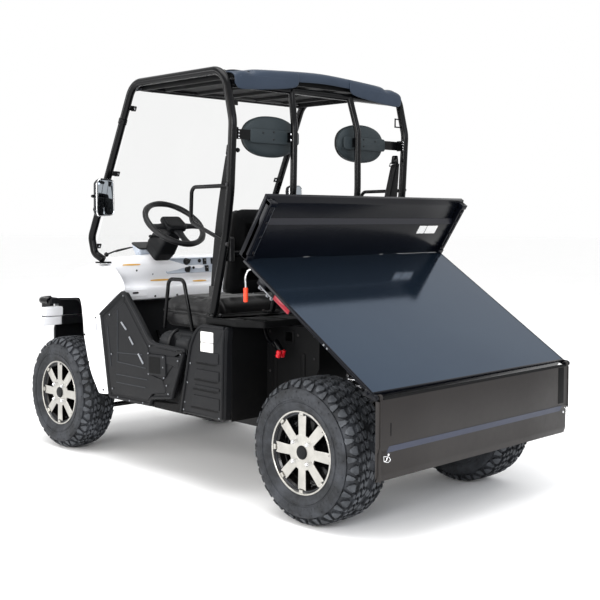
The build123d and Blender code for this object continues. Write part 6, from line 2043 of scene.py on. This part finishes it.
def make_tail_lamps():
    lens, ring = Shape(), Shape()
    for sign in (-1, 1):
        at = facing((sign * 0.296, 1.212, 0.508), (0, 1, 0))
        ring.lathe([(0.012, 0.0), (0.03, 0.0), (0.032, 0.003), (0.032, 0.026), (0.0305, 0.029), (0.0285,
            0.029), (0.028, 0.024), (0.012, 0.024)], at, 48, closed=True)
        lens.lathe([(0.028, 0.022), (0.0275, 0.0285), (0.024, 0.0318), (0.015, 0.033), (0.0, 0.0333)], at,
            48)
    ring.make("tail_lamp_cups", BLACK, bevel=0.0008)
    lens.make("tail_lamp_lenses", RED_LENS, replaces=["tail_lamps"])


def make_cage_fittings():
    """Brackets, rings round the hoop tubes, and bolts on the roll cage."""
    marks, bolts = Shape(), Shape()
    # Slotted bracket high on the right-hand hoop, and a plain tab on the other.
    for x_low, x_high, z_low, z_high in ((-0.56, -0.518, 1.712, 1.718), (-0.56, -0.518, 1.752, 1.758),
            (-0.524, -0.518, 1.712, 1.758), (0.536, 0.56, 1.742, 1.768)):
        marks.prism(((x_low, 0.45), (x_high, 0.45), (x_high, 0.4545), (x_low, 0.4545)), z_low, z_high)
    for sign in (-1, 1):
        part = Shape()
        for y, z in ((-0.36, 1.72), (-0.555, 1.3)):
            part.lathe([(0.0205, -0.014), (0.0215, -0.012), (0.0215, 0.012), (0.0205, 0.014)],
                facing((0.5845, y, z), (0.0, 0.42, 0.9)), 28)
        marks.join(sided(sign, part))
        screws(bolts, [((sign * 0.6, 0.455, z), (sign, 0, 0)) for z in (1.395, 1.135)], 0.007, 0.005, True)
        screws(bolts, [((sign * x, y, 0.8135), (0, 0, 1)) for x in (0.552, 0.6) for y in (0.31, 0.352)],
            0.0065, 0.005, True)
        screws(bolts, [((sign * x, y, 0.8125), (0, 0, 1)) for x in (0.206, 0.252) for y in (0.31, 0.352)],
            0.0065, 0.005, True)
    marks.make("cage_brackets", COAT, bevel=0.0008)
    bolts.make("cage_bolts", STEEL)


def make_bed():
    make_deck()
    make_headboard()
    make_tailgate()
    make_release()
    make_springs()
    make_rear_corner()
    make_tail_lamps()
    make_cage_fittings()
    soften(0.0022, "cage_side_hoops", "cage_cross_frame", "side_grab_bars", "chassis_frame",
        "front_subframe", "front_suspension_arms", "knuckle_left", "knuckle_right", "rear_axle", "bed_frame",
        "floor_pan")
    soften(0.0012, "tow_hitch", "pedals", "lift_tube", "lift_rod", "tie_rods", "motor_block", "rack_housing",
        "rear_inner_panels", "windscreen")


# ---- all of it ----
def give_finishes():
    give(WHITE, "hood", "front_fenders", "dashboard")
    give(BLACK, "door_left", "door_right", "front_fascia", "side_panels", "rear_shelf", "mirrors")
    give(LINER, "wheel_arch_liners", "rear_inner_panels", "rack_housing")
    give(ROOF, "roof_panel")
    give(COLUMN, "steering_column", "gauge_pod")
    give(HUMPS, "seat_base", "floor_pan")
    give(COAT, "cage_side_hoops", "cage_cross_frame", "side_grab_bars", "chassis_frame", "front_subframe",
        "front_suspension_arms", "front_bumper", "knuckle_left", "knuckle_right", "rear_axle", "pedals")
    give(VINYL, "seat_cushions", "seat_backs", "headrests")
    give(WEBBING, "seat_belts")
    give(RUBBER, "tyre_front_left", "tyre_front_right", "tyre_rear_left", "tyre_rear_right")
    give(ALLOY, "rim_front_left", "rim_front_right", "rim_rear_left", "rim_rear_right")
    give(SCREEN, "windscreen")
    give(LENS, "headlamps")
    give(RED_LENS, "tail_lamps")
    give(BED, "bed_deck")
    give(HEADBOARD, "bed_headboard", "bed_frame")
    give(GATE, "tailgate")
    give(ZINC, "tailgate_latches", "tie_rods")
    give(COAT, "door_hinges")
    give(CHROME, "lift_rod")
    give(STEEL, "shock_absorbers", "lift_tube", "tow_hitch", "bed_lock_lever", "motor_block")
    give(GRIP, "steering_wheel")
    give(ORANGE, "bed_release_handle")


set_camera()
set_studio()
give_finishes()
make_wheels()
make_bodywork()
make_cab()
make_bed()
